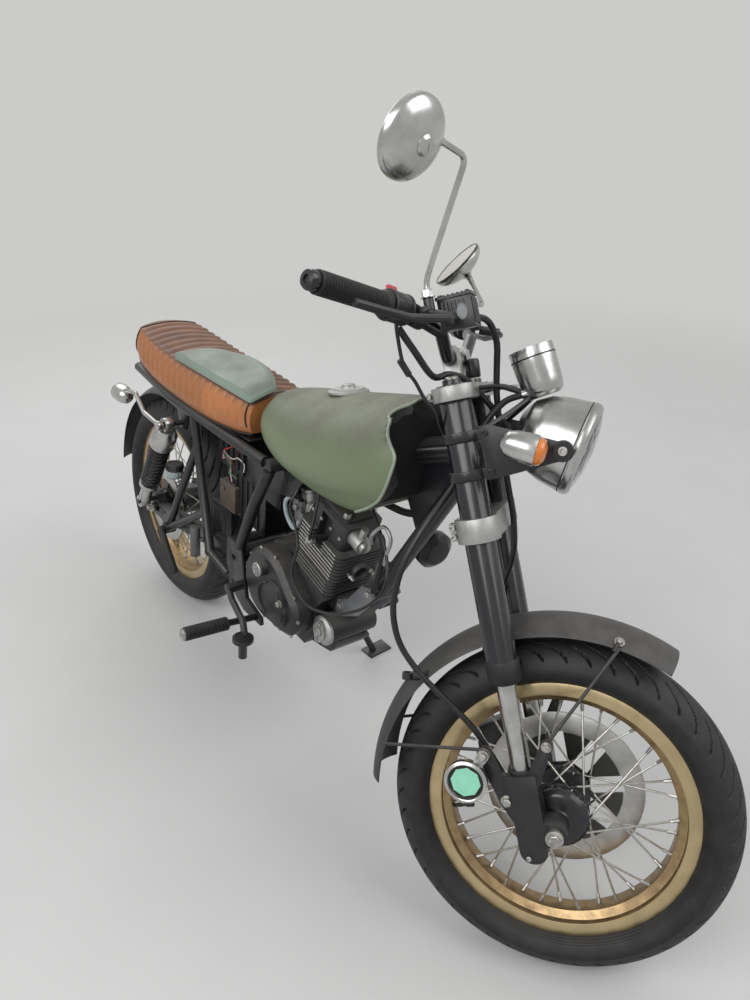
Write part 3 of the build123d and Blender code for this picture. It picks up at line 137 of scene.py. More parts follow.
class Form:
    """Points and faces of one piece, in millimetres in a working frame."""

    def __init__(self):
        self.points = []
        self.faces = []

    def skin(self, rings, closed=True, loop=False):
        """Joins rings of equally many points; loop joins the last ring to the first."""
        first = len(self.points)
        count = len(rings[0])
        rows = len(rings)
        for ring in rings:
            self.points.extend(Vector(p) for p in ring)
        for i in range(rows if loop else rows - 1):
            a = first + i * count
            b = first + (i + 1) % rows * count
            for j in range(count if closed else count - 1):
                k = (j + 1) % count
                self.faces.append((a + j, a + k, b + k, b + j))
        if not loop:
            self.faces.append(tuple(range(first + count - 1, first - 1, -1)))
            self.faces.append(tuple(range(first + (rows - 1) * count, first + rows * count)))
        return self

    def turned(self, profile, origin=(0, 0, 0), axis=UP, sides=32, start=0.0, loop=False):
        """A profile of (radius, height) points turned about an axis; loop leaves the middle open."""
        turn = Vector(axis).to_track_quat("Z", "Y")
        rings = []
        for radius, height in profile:
            r = max(radius, 0.02)
            rings.append([Vector(origin) + turn @ Vector((r * cos(a), r * sin(a), height))
                          for a in angles(sides, start)])
        return self.skin(rings, loop=loop)

    def disc(self, radius, low, high, origin, axis, sides=32, start=0.0):
        """A plain disc from low to high along its axis."""
        return self.turned([(0, low), (radius, low), (radius, high), (0, high)], origin, axis, sides, start)

    def bar(self, p, q, r, sides):
        """A round bar between two points."""
        length = (Vector(q) - Vector(p)).length
        return self.turned([(r, 0), (r, length)], p, Vector(q) - Vector(p), sides)

    def tube(self, route, r, sides=10, steps=6, radii=None):
        """A round tube along a smooth curve through a route's points."""
        path = smooth_path(route, steps)
        rings = []
        normal = None
        for i, p in enumerate(path):
            before = path[max(i - 1, 0)]
            after = path[min(i + 1, len(path) - 1)]
            along = (after - before).normalized()
            if normal is None:
                normal = along.orthogonal().normalized()
            normal = (normal - along * normal.dot(along)).normalized()
            side = along.cross(normal)
            size = r if radii is None else radii(i / (len(path) - 1))
            rings.append([p + size * (cos(a) * normal + sin(a) * side) for a in angles(sides)])
        return self.skin(rings)

    def block(self, low, high, shift=None):
        """A box between two corners, moved by a matrix where one is given."""
        (x0, y0, z0), (x1, y1, z1) = low, high
        ring = [(x0, y0), (x1, y0), (x1, y1), (x0, y1)]
        rings = [[Vector((x, y, z)) for x, y in ring] for z in (z0, z1)]
        if shift is not None:
            rings = [[shift @ p for p in ring] for ring in rings]
        return self.skin(rings)

    def prism(self, outline, y0, y1):
        """A flat outline of (x, z) points from y0 to y1."""
        return self.skin([[Vector((x, y, z)) for x, z in outline] for y in (y0, y1)])

    def bolt(self, p, axis, across=13.0, head=6.0, washer=True):
        """A hexagon head on its washer."""
        axis = Vector(axis).normalized()
        start = Vector(p)
        if washer:
            self.turned([(across * 0.75, 0), (across * 0.75, 1.6)], start, axis, 20)
            start = start + axis * 1.6
        r = across / sqrt(3)
        return self.turned([(r, 0), (r, head * 0.8), (r * 0.84, head), (0, head)], start, axis, 6)

    def cap_screw(self, p, axis, r=5.5, head=6.0):
        """A round head with a socket."""
        return self.turned([(r, 0), (r, head - 0.8), (r - 0.8, head), (r * 0.55, head),
                            (r * 0.5, head * 0.4), (0, head * 0.4)], p, axis, 18)

    def closed_mesh(self, name, place, merge=False):
        """The form's mesh in the model, with its faces looking outward."""
        mesh = bpy.data.meshes.new(name)
        mesh.from_pydata([place @ p for p in self.points], [], self.faces)
        edit = bmesh.new()
        edit.from_mesh(mesh)
        if merge:
            bmesh.ops.remove_doubles(edit, verts=edit.verts, dist=SAME_POINT)
        bmesh.ops.recalc_face_normals(edit, faces=edit.faces)
        edit.to_mesh(mesh)
        edit.free()
        return mesh

    def make(self, name, on, look, slot=None, crease=32.0, bevel=0.0, merge=True):
        """The finished piece in its frame, riding on its body."""
        place, body = on
        mesh = self.closed_mesh(name, place, merge)
        mesh.polygons.foreach_set("use_smooth", [True] * len(mesh.polygons))
        mesh.set_sharp_from_angle(angle=radians(crease))
        mesh.materials.append(look)
        piece = bpy.data.objects.new(name, mesh)
        bpy.context.scene.collection.objects.link(piece)
        if bevel:
            soften(piece, bevel * MM, crease)
        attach(piece, body)
        return piece


def soften(piece, width, angle):
    """A small bevel on the sharp edges."""
    edge = piece.modifiers.new("edge", "BEVEL")
    edge.width = width
    edge.segments = 2
    edge.limit_method = "ANGLE"
    edge.angle_limit = radians(angle)
    return edge


def smooth_path(route, steps):
    """Points on a smooth curve through a route's points."""
    pts = [Vector(p) for p in route]
    if len(pts) < 3 or steps < 2:
        return pts
    ends = [2 * pts[0] - pts[1]] + pts + [2 * pts[-1] - pts[-2]]
    found = []
    for a, b, c, d in zip(ends, ends[1:], ends[2:], ends[3:]):
        for k in range(steps):
            t = k / steps
            found.append(0.5 * (2 * b + (c - a) * t + (2 * a - 5 * b + 4 * c - d) * t * t
                                + (3 * b - a - 3 * c + d) * t ** 3))
    found.append(pts[-1])
    return found


def mirrored(points):
    """The same points on the other side."""
    return [(x, -y, z) for x, y, z in points]


# Finishes

class Look:
    """One finish's node tree."""

    def __init__(self, name):
        self.material = bpy.data.materials.new(name)
        self.material.use_nodes = True
        self.tree = self.material.node_tree
        self.shader = self.tree.nodes["Principled BSDF"]
        self.place = self.add("ShaderNodeTexCoord").outputs["Object"]

    def add(self, kind, **settings):
        node = self.tree.nodes.new(kind)
        for key, value in settings.items():
            setattr(node, key, value)
        return node

    def feed(self, socket, value):
        if hasattr(value, "is_linked") or hasattr(value, "links"):
            self.tree.links.new(value, socket)
        else:
            socket.default_value = value

    def now(self, name):
        """What feeds one of the shader's sockets."""
        return self.shader.inputs[name].links[0].from_socket

    def put(self, name, value):
        """Links a value to one of the shader's sockets, or sets it there."""
        self.feed(self.shader.inputs[name], value)

    def over(self, amount, colour):
        """Lays a colour over the base colour."""
        self.put("Base Color", self.mix(amount, self.now("Base Color"), colour))

    def relief(self, height, strength, depth_mm):
        """Adds a bump to the one that is there."""
        self.put("Normal", self.bump(height, strength, depth_mm, self.now("Normal")))

    def noise(self, scale, detail=4.0, rough=0.55, at=None):
        node = self.add("ShaderNodeTexNoise")
        for socket, number in (("Scale", scale), ("Detail", detail), ("Roughness", rough)):
            node.inputs[socket].default_value = number
        self.feed(node.inputs["Vector"], self.place if at is None else at)
        return node.outputs["Fac"]

    def ramp(self, value, low, high, out_low=0.0, out_high=1.0):
        node = self.add("ShaderNodeMapRange", interpolation_type="SMOOTHSTEP")
        for socket, number in zip(("From Min", "From Max", "To Min", "To Max"),
                                  (low, high, out_low, out_high)):
            node.inputs[socket].default_value = number
        self.feed(node.inputs["Value"], value)
        return node.outputs["Result"]

    def maths(self, operation, a, b=0.0):
        node = self.add("ShaderNodeMath", operation=operation)
        self.feed(node.inputs[0], a)
        self.feed(node.inputs[1], b)
        return node.outputs[0]

    def times(self, a, b):
        return self.maths("MULTIPLY", a, b)

    def plus(self, a, b):
        return self.maths("ADD", a, b)

    def vector(self, operation, a, b=(0, 0, 0)):
        node = self.add("ShaderNodeVectorMath", operation=operation)
        self.feed(node.inputs[0], a)
        self.feed(node.inputs[1], b)
        return node.outputs["Value" if operation in ("DOT_PRODUCT", "LENGTH") else "Vector"]

    def mix(self, amount, a, b):
        node = self.add("ShaderNodeMix", data_type="RGBA")
        self.feed(node.inputs[0], amount)
        self.feed(node.inputs[6], a if hasattr(a, "links") else (*a, 1.0))
        self.feed(node.inputs[7], b if hasattr(b, "links") else (*b, 1.0))
        return node.outputs[2]

    def bump(self, height, strength, depth_mm, under=None):
        node = self.add("ShaderNodeBump")
        node.inputs["Strength"].default_value = strength
        node.inputs["Distance"].default_value = depth_mm * MM
        self.feed(node.inputs["Height"], height)
        if under is not None:
            self.feed(node.inputs["Normal"], under)
        return node.outputs["Normal"]

    def facing_up(self):
        """1 on faces that look up, 0 on those that look sideways or down."""
        normal = self.add("ShaderNodeNewGeometry").outputs["Normal"]
        split = self.add("ShaderNodeSeparateXYZ")
        self.feed(split.inputs[0], normal)
        return self.ramp(split.outputs["Z"], 0.15, 0.95)

    def local(self, place):
        """The coordinates in a working frame, in millimetres."""
        shifted = self.vector("SUBTRACT", self.place, tuple(place.translation))
        found = []
        for column in range(3):
            axis = Vector((place[0][column], place[1][column], place[2][column])).normalized()
            found.append(self.times(self.vector("DOT_PRODUCT", shifted, tuple(axis)), 1 / MM))
        return found


DUST = (0.215, 0.20, 0.18)


def finish(name, colour, rough, metal=0.0, vary=0.12, patch=30.0, grain=900.0, grain_depth=0.05, dust=0.0,
           dust_scale=14.0, coat=0.0, scuff=0.0, scuff_colour=(0.35, 0.34, 0.32), gloss=0.5):
    """A finish with colour patches, fine grain, dust on what faces up and scuffed spots."""
    look = Look(name)
    patches = look.ramp(look.noise(patch), 0.3, 0.7)
    dark = tuple(c * (1 - vary) for c in colour)
    light = tuple(min(1.0, c * (1 + vary)) for c in colour)
    shade = look.mix(patches, dark, light)
    roughness = look.plus(look.times(look.noise(patch * 3), 0.16), rough - 0.08)
    if scuff:
        spots = look.ramp(look.noise(patch * 6, 6.0, 0.7), 0.62, 0.7, 0.0, scuff)
        shade = look.mix(spots, shade, scuff_colour)
        roughness = look.plus(roughness, look.times(spots, 0.25))
    if dust:
        cloud = look.noise(dust_scale, 8.0, 0.7)
        cover = look.times(look.facing_up(), look.ramp(cloud, 0.25, 0.75, dust * 0.35, dust))
        shade = look.mix(cover, shade, DUST)
        roughness = look.plus(roughness, look.times(cover, 0.35))
    look.put("Base Color", shade)
    look.put("Roughness", look.maths("MINIMUM", roughness, 1.0))
    look.put("Metallic", metal)
    look.put("Specular IOR Level", gloss)
    if coat:
        look.put("Coat Weight", coat)
        look.put("Coat Roughness", 0.12)
    look.put("Normal", look.bump(look.noise(grain, 3.0), 0.6, grain_depth))
    return look


rubber = finish("rubber", (0.013, 0.013, 0.014), 0.60, grain_depth=0.08, dust=0.2, vary=0.2,
                gloss=0.35).material
black_metal = finish("black_metal", (0.012, 0.0125, 0.015), 0.36, patch=18.0, dust=0.25, scuff=0.25,
                     scuff_colour=(0.17, 0.17, 0.17), coat=0.15, gloss=0.4).material
gloss_black = finish("gloss_black", (0.008, 0.009, 0.012), 0.24, patch=12.0, dust=0.15, coat=0.35,
                     grain_depth=0.02, gloss=0.4).material
chrome = finish("chrome", (0.50, 0.50, 0.495), 0.24, metal=1.0, vary=0.14, grain_depth=0.01, dust=0.3,
                scuff=0.35, scuff_colour=(0.27, 0.255, 0.23), patch=22.0).material
silver = finish("silver_alloy", (0.42, 0.42, 0.415), 0.46, metal=1.0, vary=0.12, dust=0.4, scuff=0.35,
                scuff_colour=(0.28, 0.27, 0.25), grain_depth=0.06).material
bolt_steel = finish("bolt_steel", (0.42, 0.41, 0.39), 0.42, metal=1.0, vary=0.3, patch=90.0, scuff=0.5,
                    scuff_colour=(0.22, 0.16, 0.11)).material
engine_black = finish("engine_black", (0.021, 0.0215, 0.0235), 0.44, patch=24.0, dust=0.4, scuff=0.4,
                      scuff_colour=(0.13, 0.13, 0.13), grain=500.0, grain_depth=0.12, gloss=0.45).material
guard_plastic = finish("dark_guard", (0.026, 0.027, 0.030), 0.46, patch=9.0, dust=0.42, dust_scale=26.0,
                       scuff=0.3, scuff_colour=(0.14, 0.135, 0.125), gloss=0.4).material
plastic = finish("black_plastic", (0.009, 0.009, 0.010), 0.36, dust=0.15, grain=1400.0, coat=0.15,
                 gloss=0.4).material
cable_black = finish("cable_black", (0.010, 0.010, 0.011), 0.38, dust=0.15, coat=0.1, gloss=0.4).material
red_switch = finish("red_switch", (0.50, 0.012, 0.016), 0.35, dust=0.2).material
red_lens = finish("red_lens", (0.36, 0.010, 0.008), 0.18, coat=0.6, dust=0.2).material
amber_lens = finish("amber_lens", (0.72, 0.20, 0.02), 0.16, coat=0.6, dust=0.2).material
dial_white = finish("dial", (0.55, 0.54, 0.50), 0.55).material
permit_green = finish("permit_disc", (0.30, 0.72, 0.52), 0.62, vary=0.05, patch=60.0).material
# Near-black painted shade for the tank's cut faces: the shadowed recess behind the lips
cut_face_painted_shade = finish("tank_cut_painted_shade", (0.012, 0.013, 0.012), 0.7, dust=0.1).material
# A paler copy of the tank's paint for the rolled lip: painted highlight
sage_lip_painted_highlight = finish("sage_lip_painted_highlight", (0.30, 0.345, 0.26), 0.34, vary=0.1, dust=0.15).material
sight_grey = finish("sight_window", (0.19, 0.20, 0.205), 0.30, vary=0.1, dust=0.1).material
pale_hose = finish("pale_hose", (0.36, 0.42, 0.43), 0.5, dust=0.3, vary=0.15).material
mount_grey = finish("mount_grey", (0.20, 0.205, 0.215), 0.48, metal=0.8, dust=0.35, scuff=0.5,
                    scuff_colour=(0.12, 0.12, 0.12), patch=40.0).material
dusty_brown = finish("dusty_brown", (0.085, 0.066, 0.05), 0.6, dust=0.5, vary=0.25, patch=30.0).material
grey_plate = finish("worn_steel", (0.12, 0.12, 0.125), 0.5, metal=0.6, dust=0.6, scuff=0.6,
                    patch=40.0).material


def radial(look, place):
    """Distance from a wheel's axle, in millimetres."""
    x, y, z = look.local(place)
    return look.maths("SQRT", look.plus(look.times(x, x), look.times(z, z)))


def hub_finish(name, place, edge):
    """Black hub and bright spokes, parted by their distance from the axle."""
    look = finish(name, (0.50, 0.49, 0.46), 0.34, metal=1.0, vary=0.15, patch=120.0, scuff=0.4,
                  scuff_colour=(0.25, 0.19, 0.13))
    r = radial(look, place)
    inside = look.ramp(r, edge, edge + 1.0, 1.0, 0.0)
    look.over(inside, (0.035, 0.035, 0.036))
    look.put("Metallic", look.ramp(r, edge, edge + 1.0))
    return look.material


def rim_finish(name, place):
    """Satin gold flanges, and a darker, browner well mottled by noise: painted shade in the well's recess.
    """
    look = finish(name, (0.53, 0.42, 0.24), 0.36, metal=1.0, vary=0.1, patch=16.0, dust=0.2, scuff=0.25,
                  scuff_colour=(0.24, 0.17, 0.10), grain_depth=0.03)
    r = radial(look, place)
    flange = look.ramp(r, 211.0, 216.0)
    shade = look.now("Base Color")
    # Painted shade: the well gets darker, browner golds than the flanges
    well = look.mix(look.ramp(look.noise(50.0, 6.0, 0.7), 0.4, 0.7), (0.40, 0.285, 0.155),
                    (0.27, 0.185, 0.10))
    look.put("Base Color", look.mix(flange, well, shade))
    return look.material


def tyre_finish(name, place, tread_edge):
    """Blue-black rubber with fine rings on the flanks and grey dust on the tread."""
    look = finish(name, (0.012, 0.0125, 0.0145), 0.56, vary=0.25, patch=40.0, dust=0.15, grain_depth=0.1,
                  gloss=0.35)
    r = radial(look, place)
    flank = look.ramp(r, tread_edge - 6, tread_edge, 1.0, 0.0)
    wave = look.maths("SINE", look.times(r, 2.1))
    look.relief(look.times(wave, flank), 0.5, 0.35)
    look.over(look.ramp(look.noise(30.0, 6.0, 0.7), 0.4, 0.75, 0.0, 0.35), (0.05, 0.048, 0.045))
    return look.material


def disc_finish(name, place, inner):
    """Bright steel rubbed in rings, browner on the carrier."""
    look = finish(name, (0.52, 0.52, 0.51), 0.34, metal=1.0, vary=0.12, patch=26.0, scuff=0.25,
                  scuff_colour=(0.30, 0.24, 0.18))
    r = radial(look, place)
    rings = look.noise(1.6, 2.0, 0.6, at=vector_of(look, r))
    carrier = look.ramp(r, inner - 3, inner, 1.0, 0.0)
    look.over(look.ramp(rings, 0.35, 0.65, 0.0, 0.35), (0.30, 0.28, 0.25))
    look.over(look.times(carrier, 0.9), (0.035, 0.034, 0.033))
    look.relief(rings, 0.8, 0.12)
    return look.material


def vector_of(look, value):
    """A vector with a value in X."""
    node = look.add("ShaderNodeCombineXYZ")
    look.feed(node.inputs[0], value)
    return node.outputs[0]


def fin_finish():
    """Satin black castings with the bare metal of the upper fins' right edges."""
    look = finish("fins", (0.028, 0.029, 0.031), 0.46, patch=24.0, dust=0.4, scuff=0.45,
                  scuff_colour=(0.15, 0.15, 0.15), grain=500.0, grain_depth=0.12)
    x, y, z = look.local(BARREL)
    edge = look.maths("GREATER_THAN", look.maths("ABSOLUTE", y), 65.6)
    upper = look.times(look.ramp(z, 118, 120), look.ramp(z, 198, 201, 1.0, 0.0))
    worn = look.ramp(look.noise(60.0, 5.0, 0.7), 0.3, 0.5, 0.35, 1.0)
    bare = look.times(look.times(edge, upper), worn)
    lower = look.times(look.times(edge, look.ramp(z, 118, 116, 0.0, 1.0)), 0.25)
    bare = look.maths("MAXIMUM", bare, lower)
    look.over(bare, (0.62, 0.61, 0.58))
    look.put("Metallic", bare)
    return look.material


def paint_finish(name, colour, dusty, dust_amount):
    """Matt paint under a skin of speckled dust that thickens on what faces up."""
    look = finish(name, colour, 0.42, vary=0.06, patch=5.0, grain=1500.0, grain_depth=0.02)
    speck = look.ramp(look.noise(240.0, 6.0, 0.75), 0.42, 0.62)
    cloud = look.ramp(look.noise(9.0, 6.0, 0.65), 0.3, 0.7, 0.45, 1.0)
    cover = look.times(look.times(look.facing_up(), cloud), dust_amount)
    grit = look.times(look.times(speck, cover), 0.5)
    stains = look.ramp(look.noise(170.0, 5.0, 0.75), 0.56, 0.66)
    dark = look.times(stains, look.times(cover, 0.5))
    look.over(cover, dusty)
    look.over(grit, (0.185, 0.172, 0.135))
    look.over(dark, (0.035, 0.036, 0.026))
    look.put("Roughness", look.plus(0.40, look.times(cover, 0.4)))
    look.put("Coat Weight", 0.12)
    look.put("Coat Roughness", 0.3)
    look.relief(look.noise(240.0, 6.0, 0.75), 0.25, 0.08)
    return look.material


def leather_finish():
    """Tan leather: fine grain, brown dust on the top."""
    look = finish("tan_leather", (0.44, 0.165, 0.055), 0.44, vary=0.14, patch=7.0)
    up = look.ramp(look.facing_up(), 0.25, 0.85)
    cloud = look.ramp(look.noise(10.0, 6.0, 0.65), 0.25, 0.75, 0.65, 0.95)
    cover = look.times(up, cloud)
    look.over(cover, (0.120, 0.078, 0.062))
    speck = look.ramp(look.noise(300.0, 5.0, 0.8), 0.55, 0.7)
    grit = look.times(look.times(speck, cover), 0.4)
    look.over(grit, (0.36, 0.30, 0.25))
    look.put("Roughness", look.plus(0.40, look.times(cover, 0.28)))
    cells = look.add("ShaderNodeTexVoronoi", feature="DISTANCE_TO_EDGE")
    cells.inputs["Scale"].default_value = 620.0
    look.feed(cells.inputs["Vector"], look.place)
    pores = look.ramp(cells.outputs["Distance"], 0.0, 0.25)
    creases = look.noise(70.0, 5.0, 0.6)
    normal = look.bump(pores, 0.35, 0.12)
    look.put("Normal", look.bump(creases, 0.35, 0.5, normal))
    return look.material


def glass_finish(name, colour, rough, ribs=0.0):
    """Clear glass, with moulded ribs where asked."""
    look = Look(name)
    for socket, value in (("Base Color", (*colour, 1.0)), ("Roughness", rough), ("Transmission Weight", 1.0),
                          ("IOR", 1.45)):
        look.put(socket, value)
    if ribs:
        wave = look.add("ShaderNodeTexWave")
        wave.inputs["Scale"].default_value = ribs
        look.feed(wave.inputs["Vector"], look.place)
        look.put("Normal", look.bump(wave.outputs["Fac"], 0.5, 0.6))
    return look.material


def mirror_glass_finish():
    """Silvering under a film of dust."""
    look = Look("mirror_glass")
    film = look.ramp(look.noise(9.0, 3.0, 0.5), 0.3, 0.75, 0.35, 0.6)
    look.put("Base Color", look.mix(film, (0.46, 0.44, 0.41), (0.36, 0.33, 0.30)))
    look.put("Metallic", 1.0)
    look.put("Roughness", look.ramp(film, 0.0, 1.0, 0.30, 0.42))
    return look.material


front_hub_look = hub_finish("front_hub_and_spokes", FORK, 56.0)
rear_hub_look = hub_finish("rear_hub_and_spokes", REAR_WHEEL, 62.0)
front_rim_look = rim_finish("front_rim_gold", FORK)
rear_rim_look = rim_finish("rear_rim_gold", REAR_WHEEL)
front_tyre_look = tyre_finish("front_tyre_rubber", FORK, FRONT_TYRE_R - FRONT_TREAD_R / 2)
rear_tyre_look = tyre_finish("rear_tyre_rubber", REAR_WHEEL, REAR_TYRE_R - REAR_TREAD_R / 2)
front_disc_look = disc_finish("front_disc", FORK, 108.0)
rear_disc_look = disc_finish("rear_disc", REAR_WHEEL, 78.0)
fins_look = fin_finish()
sage = paint_finish("sage_paint", (0.150, 0.198, 0.105), (0.100, 0.094, 0.070), 0.9)
pale_sage = paint_finish("pale_sage_paint", (0.235, 0.315, 0.255), (0.125, 0.135, 0.105), 0.8)
leather = leather_finish()
clear_glass = glass_finish("lamp_glass", (0.93, 0.95, 0.95), 0.04, ribs=60.0)
plain_glass = glass_finish("plain_glass", (0.92, 0.95, 0.94), 0.03)
mirror_glass = mirror_glass_finish()

# The CAD pieces of each finish
NODE_LOOKS = {
    front_rim_look: "front_rim", rear_rim_look: "rear_rim", front_hub_look: "front_hub",
    rear_hub_look: "rear_hub",
    front_disc_look: "front_brake_disc", rear_disc_look: "rear_brake_disc",
    grey_plate: "rear_sprocket rear_brake",
    black_metal: "fork_feet front_caliper headlight_ears main_frame seat_tubes rear_frame swingarm "
                 "foot_levers side_stand",
    gloss_black: "fork_outer_tubes speedometer_drive handlebar",
    chrome: "fork_stanchions permit_holder headlight_shell gauge front_indicators rear_indicators "
            "shock_dampers",
    silver: "steering_stem top_clamp carburettor air_valve starter_cap fuel_cap",
    bolt_steel: "front_axle rear_axle", guard_plastic: "front_mudguard rear_mudguard",
    rubber: "grips foot_pegs", plastic: "hand_controls airbox horn", clear_glass: "headlight_glass",
    cable_black: "speedometer_cable front_brake_hose", engine_black: "engine_case engine_covers",
    fins_look: "cylinder_barrel cylinder_head", mount_grey: "engine_mounts", red_lens: "tail_light",
}

# In metres, for the CAD pieces' edges
CAD_BEVEL = 0.0006
CAD_WELD = 0.00002


def dress_nodes():
    """Gives the CAD pieces their finishes, smooth curves and softened edges."""
    dressed = [(nodes[name], look) for look, names in NODE_LOOKS.items() for name in names.split()]
    for node, look in dressed:
        node.data.materials.clear()
        node.data.materials.append(look)
        node.data.polygons.foreach_set("use_smooth", [True] * len(node.data.polygons))
        node.data.update()
        weld = node.modifiers.new("weld", "WELD")
        weld.merge_threshold = CAD_WELD
        edge = soften(node, CAD_BEVEL, 38)
        edge.use_clamp_overlap = True
        edge.harden_normals = True


# Wheels

GROOVES_ROUND = 44
GROOVE_DEPTH = 5.0
GROOVE_HALF = 2.7
CROWN_STEPS = 46
TYRE_STEPS = 900


def groove_depth(turn, across):
    """Depth from 0 to 1 of the curved slashes at a turn of the wheel and a place across the tread."""
    side = 1.0 if across >= 0 else -1.0
    out = abs(across)
    if out < 0.06 or out > 1.0:
        return 0.0
    step = TURN / GROOVES_ROUND
    sweep = 0.34 * (1 - out) ** 1.7
    phase = (turn - sweep + (0.5 * step if side < 0 else 0.0)) / step
    number = (phase + 0.5) // 1
    off = abs(phase - number) * step * 300.0
    long_one = number % 2 == 0
    reach = (0.07, 1.0) if long_one else (0.36, 0.98)
    if not reach[0] < out < reach[1]:
        return 0.0
    fade = min(1.0, (out - reach[0]) / 0.06, (reach[1] - out) / 0.06)
    width = GROOVE_HALF * fade
    return clamp(width - off) if width > 0 else 0.0


def tyre_section(outer_r, tread_r, half, rim_half, spread):
    """Points of (radius, side, place across the tread) from bead to bead; the flanks' places lie past 1."""
    ring = outer_r - tread_r
    shoulder = Vector((ring + tread_r * cos(spread), tread_r * sin(spread)))
    bead = Vector((FLANGE_R + 1.2, rim_half + 2.5))
    flank = Vector(((shoulder.x + bead.x) / 2 - 1, half))
    crown = []
    for k in range(CROWN_STEPS + 1):
        across = 2 * k / CROWN_STEPS - 1
        crown.append((ring + tread_r * cos(spread * across), tread_r * sin(spread * across), across))
    side = []
    for k in range(1, 11):
        t = k / 10
        p = (1 - t) ** 2 * shoulder + 2 * t * (1 - t) * (2 * flank - (shoulder + bead) / 2) + t * t * bead
        lift = 1.2 * exp(-((t - 0.72) / 0.07) ** 2) + 0.8 * exp(-((t - 0.2) / 0.04) ** 2)
        side.append((p.x, p.y + lift, 2.0))
    side.append((FLANGE_R - 1.0, rim_half - 2.0, 2.0))
    return [(r, -y, -m) for r, y, m in reversed(side)] + crown + side


def tyre(name, on, look, section, spread, node):
    """A road tyre: crowned tread with curved slashes, flanks with a rim guard and beads."""
    rings = []
    for turn in angles(TYRE_STEPS):
        row = []
        for r, y, across in section:
            depth = GROOVE_DEPTH * groove_depth(turn, across) if abs(across) <= 1.0 else 0.0
            r -= depth * cos(across * spread)
            y -= depth * sin(across * spread)
            row.append((r * cos(turn), y, r * sin(turn)))
        rings.append(row)
    piece = Form().skin(rings, closed=False, loop=True).make(name, on, look, crease=50.0, merge=False)
    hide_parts(node)


def nipples(name, on, flange_r, flange_y):
    """The spokes' nipples with their seats in the rim, and the spokes' heads in the hub's flanges."""
    form = Form()
    half_step = pi / SPOKES_PER_SIDE
    r_out = WELL_R - 2.5
    for side in (1, -1):
        for i, at_rim in enumerate(angles(SPOKES_PER_SIDE, half_step if side < 0 else 0)):
            lead = 1 if i % 2 else -1
            at_hub = at_rim - lead * radians(SPOKE_CROSS)
            rim_end = Vector((r_out * cos(at_rim), side * (7.0 + lead * 2.4), r_out * sin(at_rim)))
            hub_end = Vector((flange_r * cos(at_hub), side * (flange_y + lead * 2.6),
                              flange_r * sin(at_hub)))
            along = (hub_end - rim_end).normalized()
            form.turned([(4.6, 0), (4.6, 2.5), (3.3, 5.5), (3.3, 15), (2.4, 17), (1.9, 17)], rim_end,
                        along, 8)
            form.turned([(1.9, -3), (4.2, -3), (4.2, -1), (1.9, 0.5)], hub_end, along, 8)
    form.make(name, on, bolt_steel, "spokes_and_hub")


def valve(name, on):
    """A tyre valve with its cap, standing out of the rim's well."""
    stem = [(3.6, 0), (3.6, 14), (2.8, 16), (2.8, 24), (4.2, 24), (4.2, 36), (3.4, 38), (0, 38)]
    Form().turned(stem, (-(WELL_R - 4), 0, 0), AHEAD, 14).make(name, on, rubber, "tyre")


def disc_bolts(name, on, y):
    """Five bolts that hold the brake disc's carrier to the hub."""
    form = Form()
    for a in angles(5, 0.3):
        form.bolt((36 * cos(a), y, 36 * sin(a)), (0, copysign(1, y), 0), 10, 5, False)
    form.make(name, on, bolt_steel, bevel=0.4)


def wheels():
    """Tyres, nipples, valves and disc bolts of both wheels."""
    spread = radians(60)
    front = tyre_section(FRONT_TYRE_R, FRONT_TREAD_R, FRONT_TYRE_HALF, FRONT_RIM_HALF, spread)
    rear = tyre_section(REAR_TYRE_R, REAR_TREAD_R, REAR_TYRE_HALF, REAR_RIM_HALF, spread)
    tyre("front_tread", ON_FRONT_WHEEL, front_tyre_look, front, spread, "front_tyre")
    tyre("rear_tread", ON_REAR_WHEEL, rear_tyre_look, rear, spread, "rear_tyre")
    nipples("front_nipples", ON_FRONT_WHEEL, 46.0, 34.0)
    nipples("rear_nipples", ON_REAR_WHEEL, 52.0, 38.0)
    valve("front_valve", ON_FRONT_WHEEL)
    valve("rear_valve", ON_REAR_WHEEL)
    disc_bolts("front_disc_bolts", ON_FRONT_WHEEL, 63.0)
    disc_bolts("rear_disc_bolts", ON_REAR_WHEEL, -70.0)


# Chain drive

CHAIN_PITCH = 12.7
REAR_TEETH = 40
FRONT_TEETH = 15
COUNTER_X = 575.0
COUNTER_Z = 392.0
CHAIN_Y = 73.0


def sprocket_r(teeth):
    """The radius on which a chain's pins lie."""
    return CHAIN_PITCH / 2 / sin(pi / teeth)


def on_circle(centre, r, a):
    """The point of a circle at an angle."""
    return centre + r * Vector((cos(a), sin(a)))


def chain_path():
    """The chain's line round both sprockets, as a function of the length along it, and its length."""
    r1, r2 = sprocket_r(REAR_TEETH), sprocket_r(FRONT_TEETH)
    c1, c2 = Vector((0, REAR_TYRE_R)), Vector((COUNTER_X, COUNTER_Z))
    gap = (c2 - c1).length
    heading = atan2(c2.y - c1.y, c2.x - c1.x)
    tip = asin((r1 - r2) / gap)
    up = heading + pi / 2 - tip
    down = heading - pi / 2 + tip
    straight = sqrt(gap ** 2 - (r1 - r2) ** 2)
    wrap2 = up - down
    wrap1 = TURN - wrap2
    total = 2 * straight + wrap1 * r1 + wrap2 * r2

    def point(s):
        if s < straight:
            return on_circle(c1, r1, up).lerp(on_circle(c2, r2, up), s / straight)
        s -= straight
        if s < wrap2 * r2:
            return on_circle(c2, r2, up - s / r2)
        s -= wrap2 * r2
        if s < straight:
            return on_circle(c2, r2, down).lerp(on_circle(c1, r1, down), s / straight)
        return on_circle(c1, r1, down - (s - straight) / r1)

    return point, total


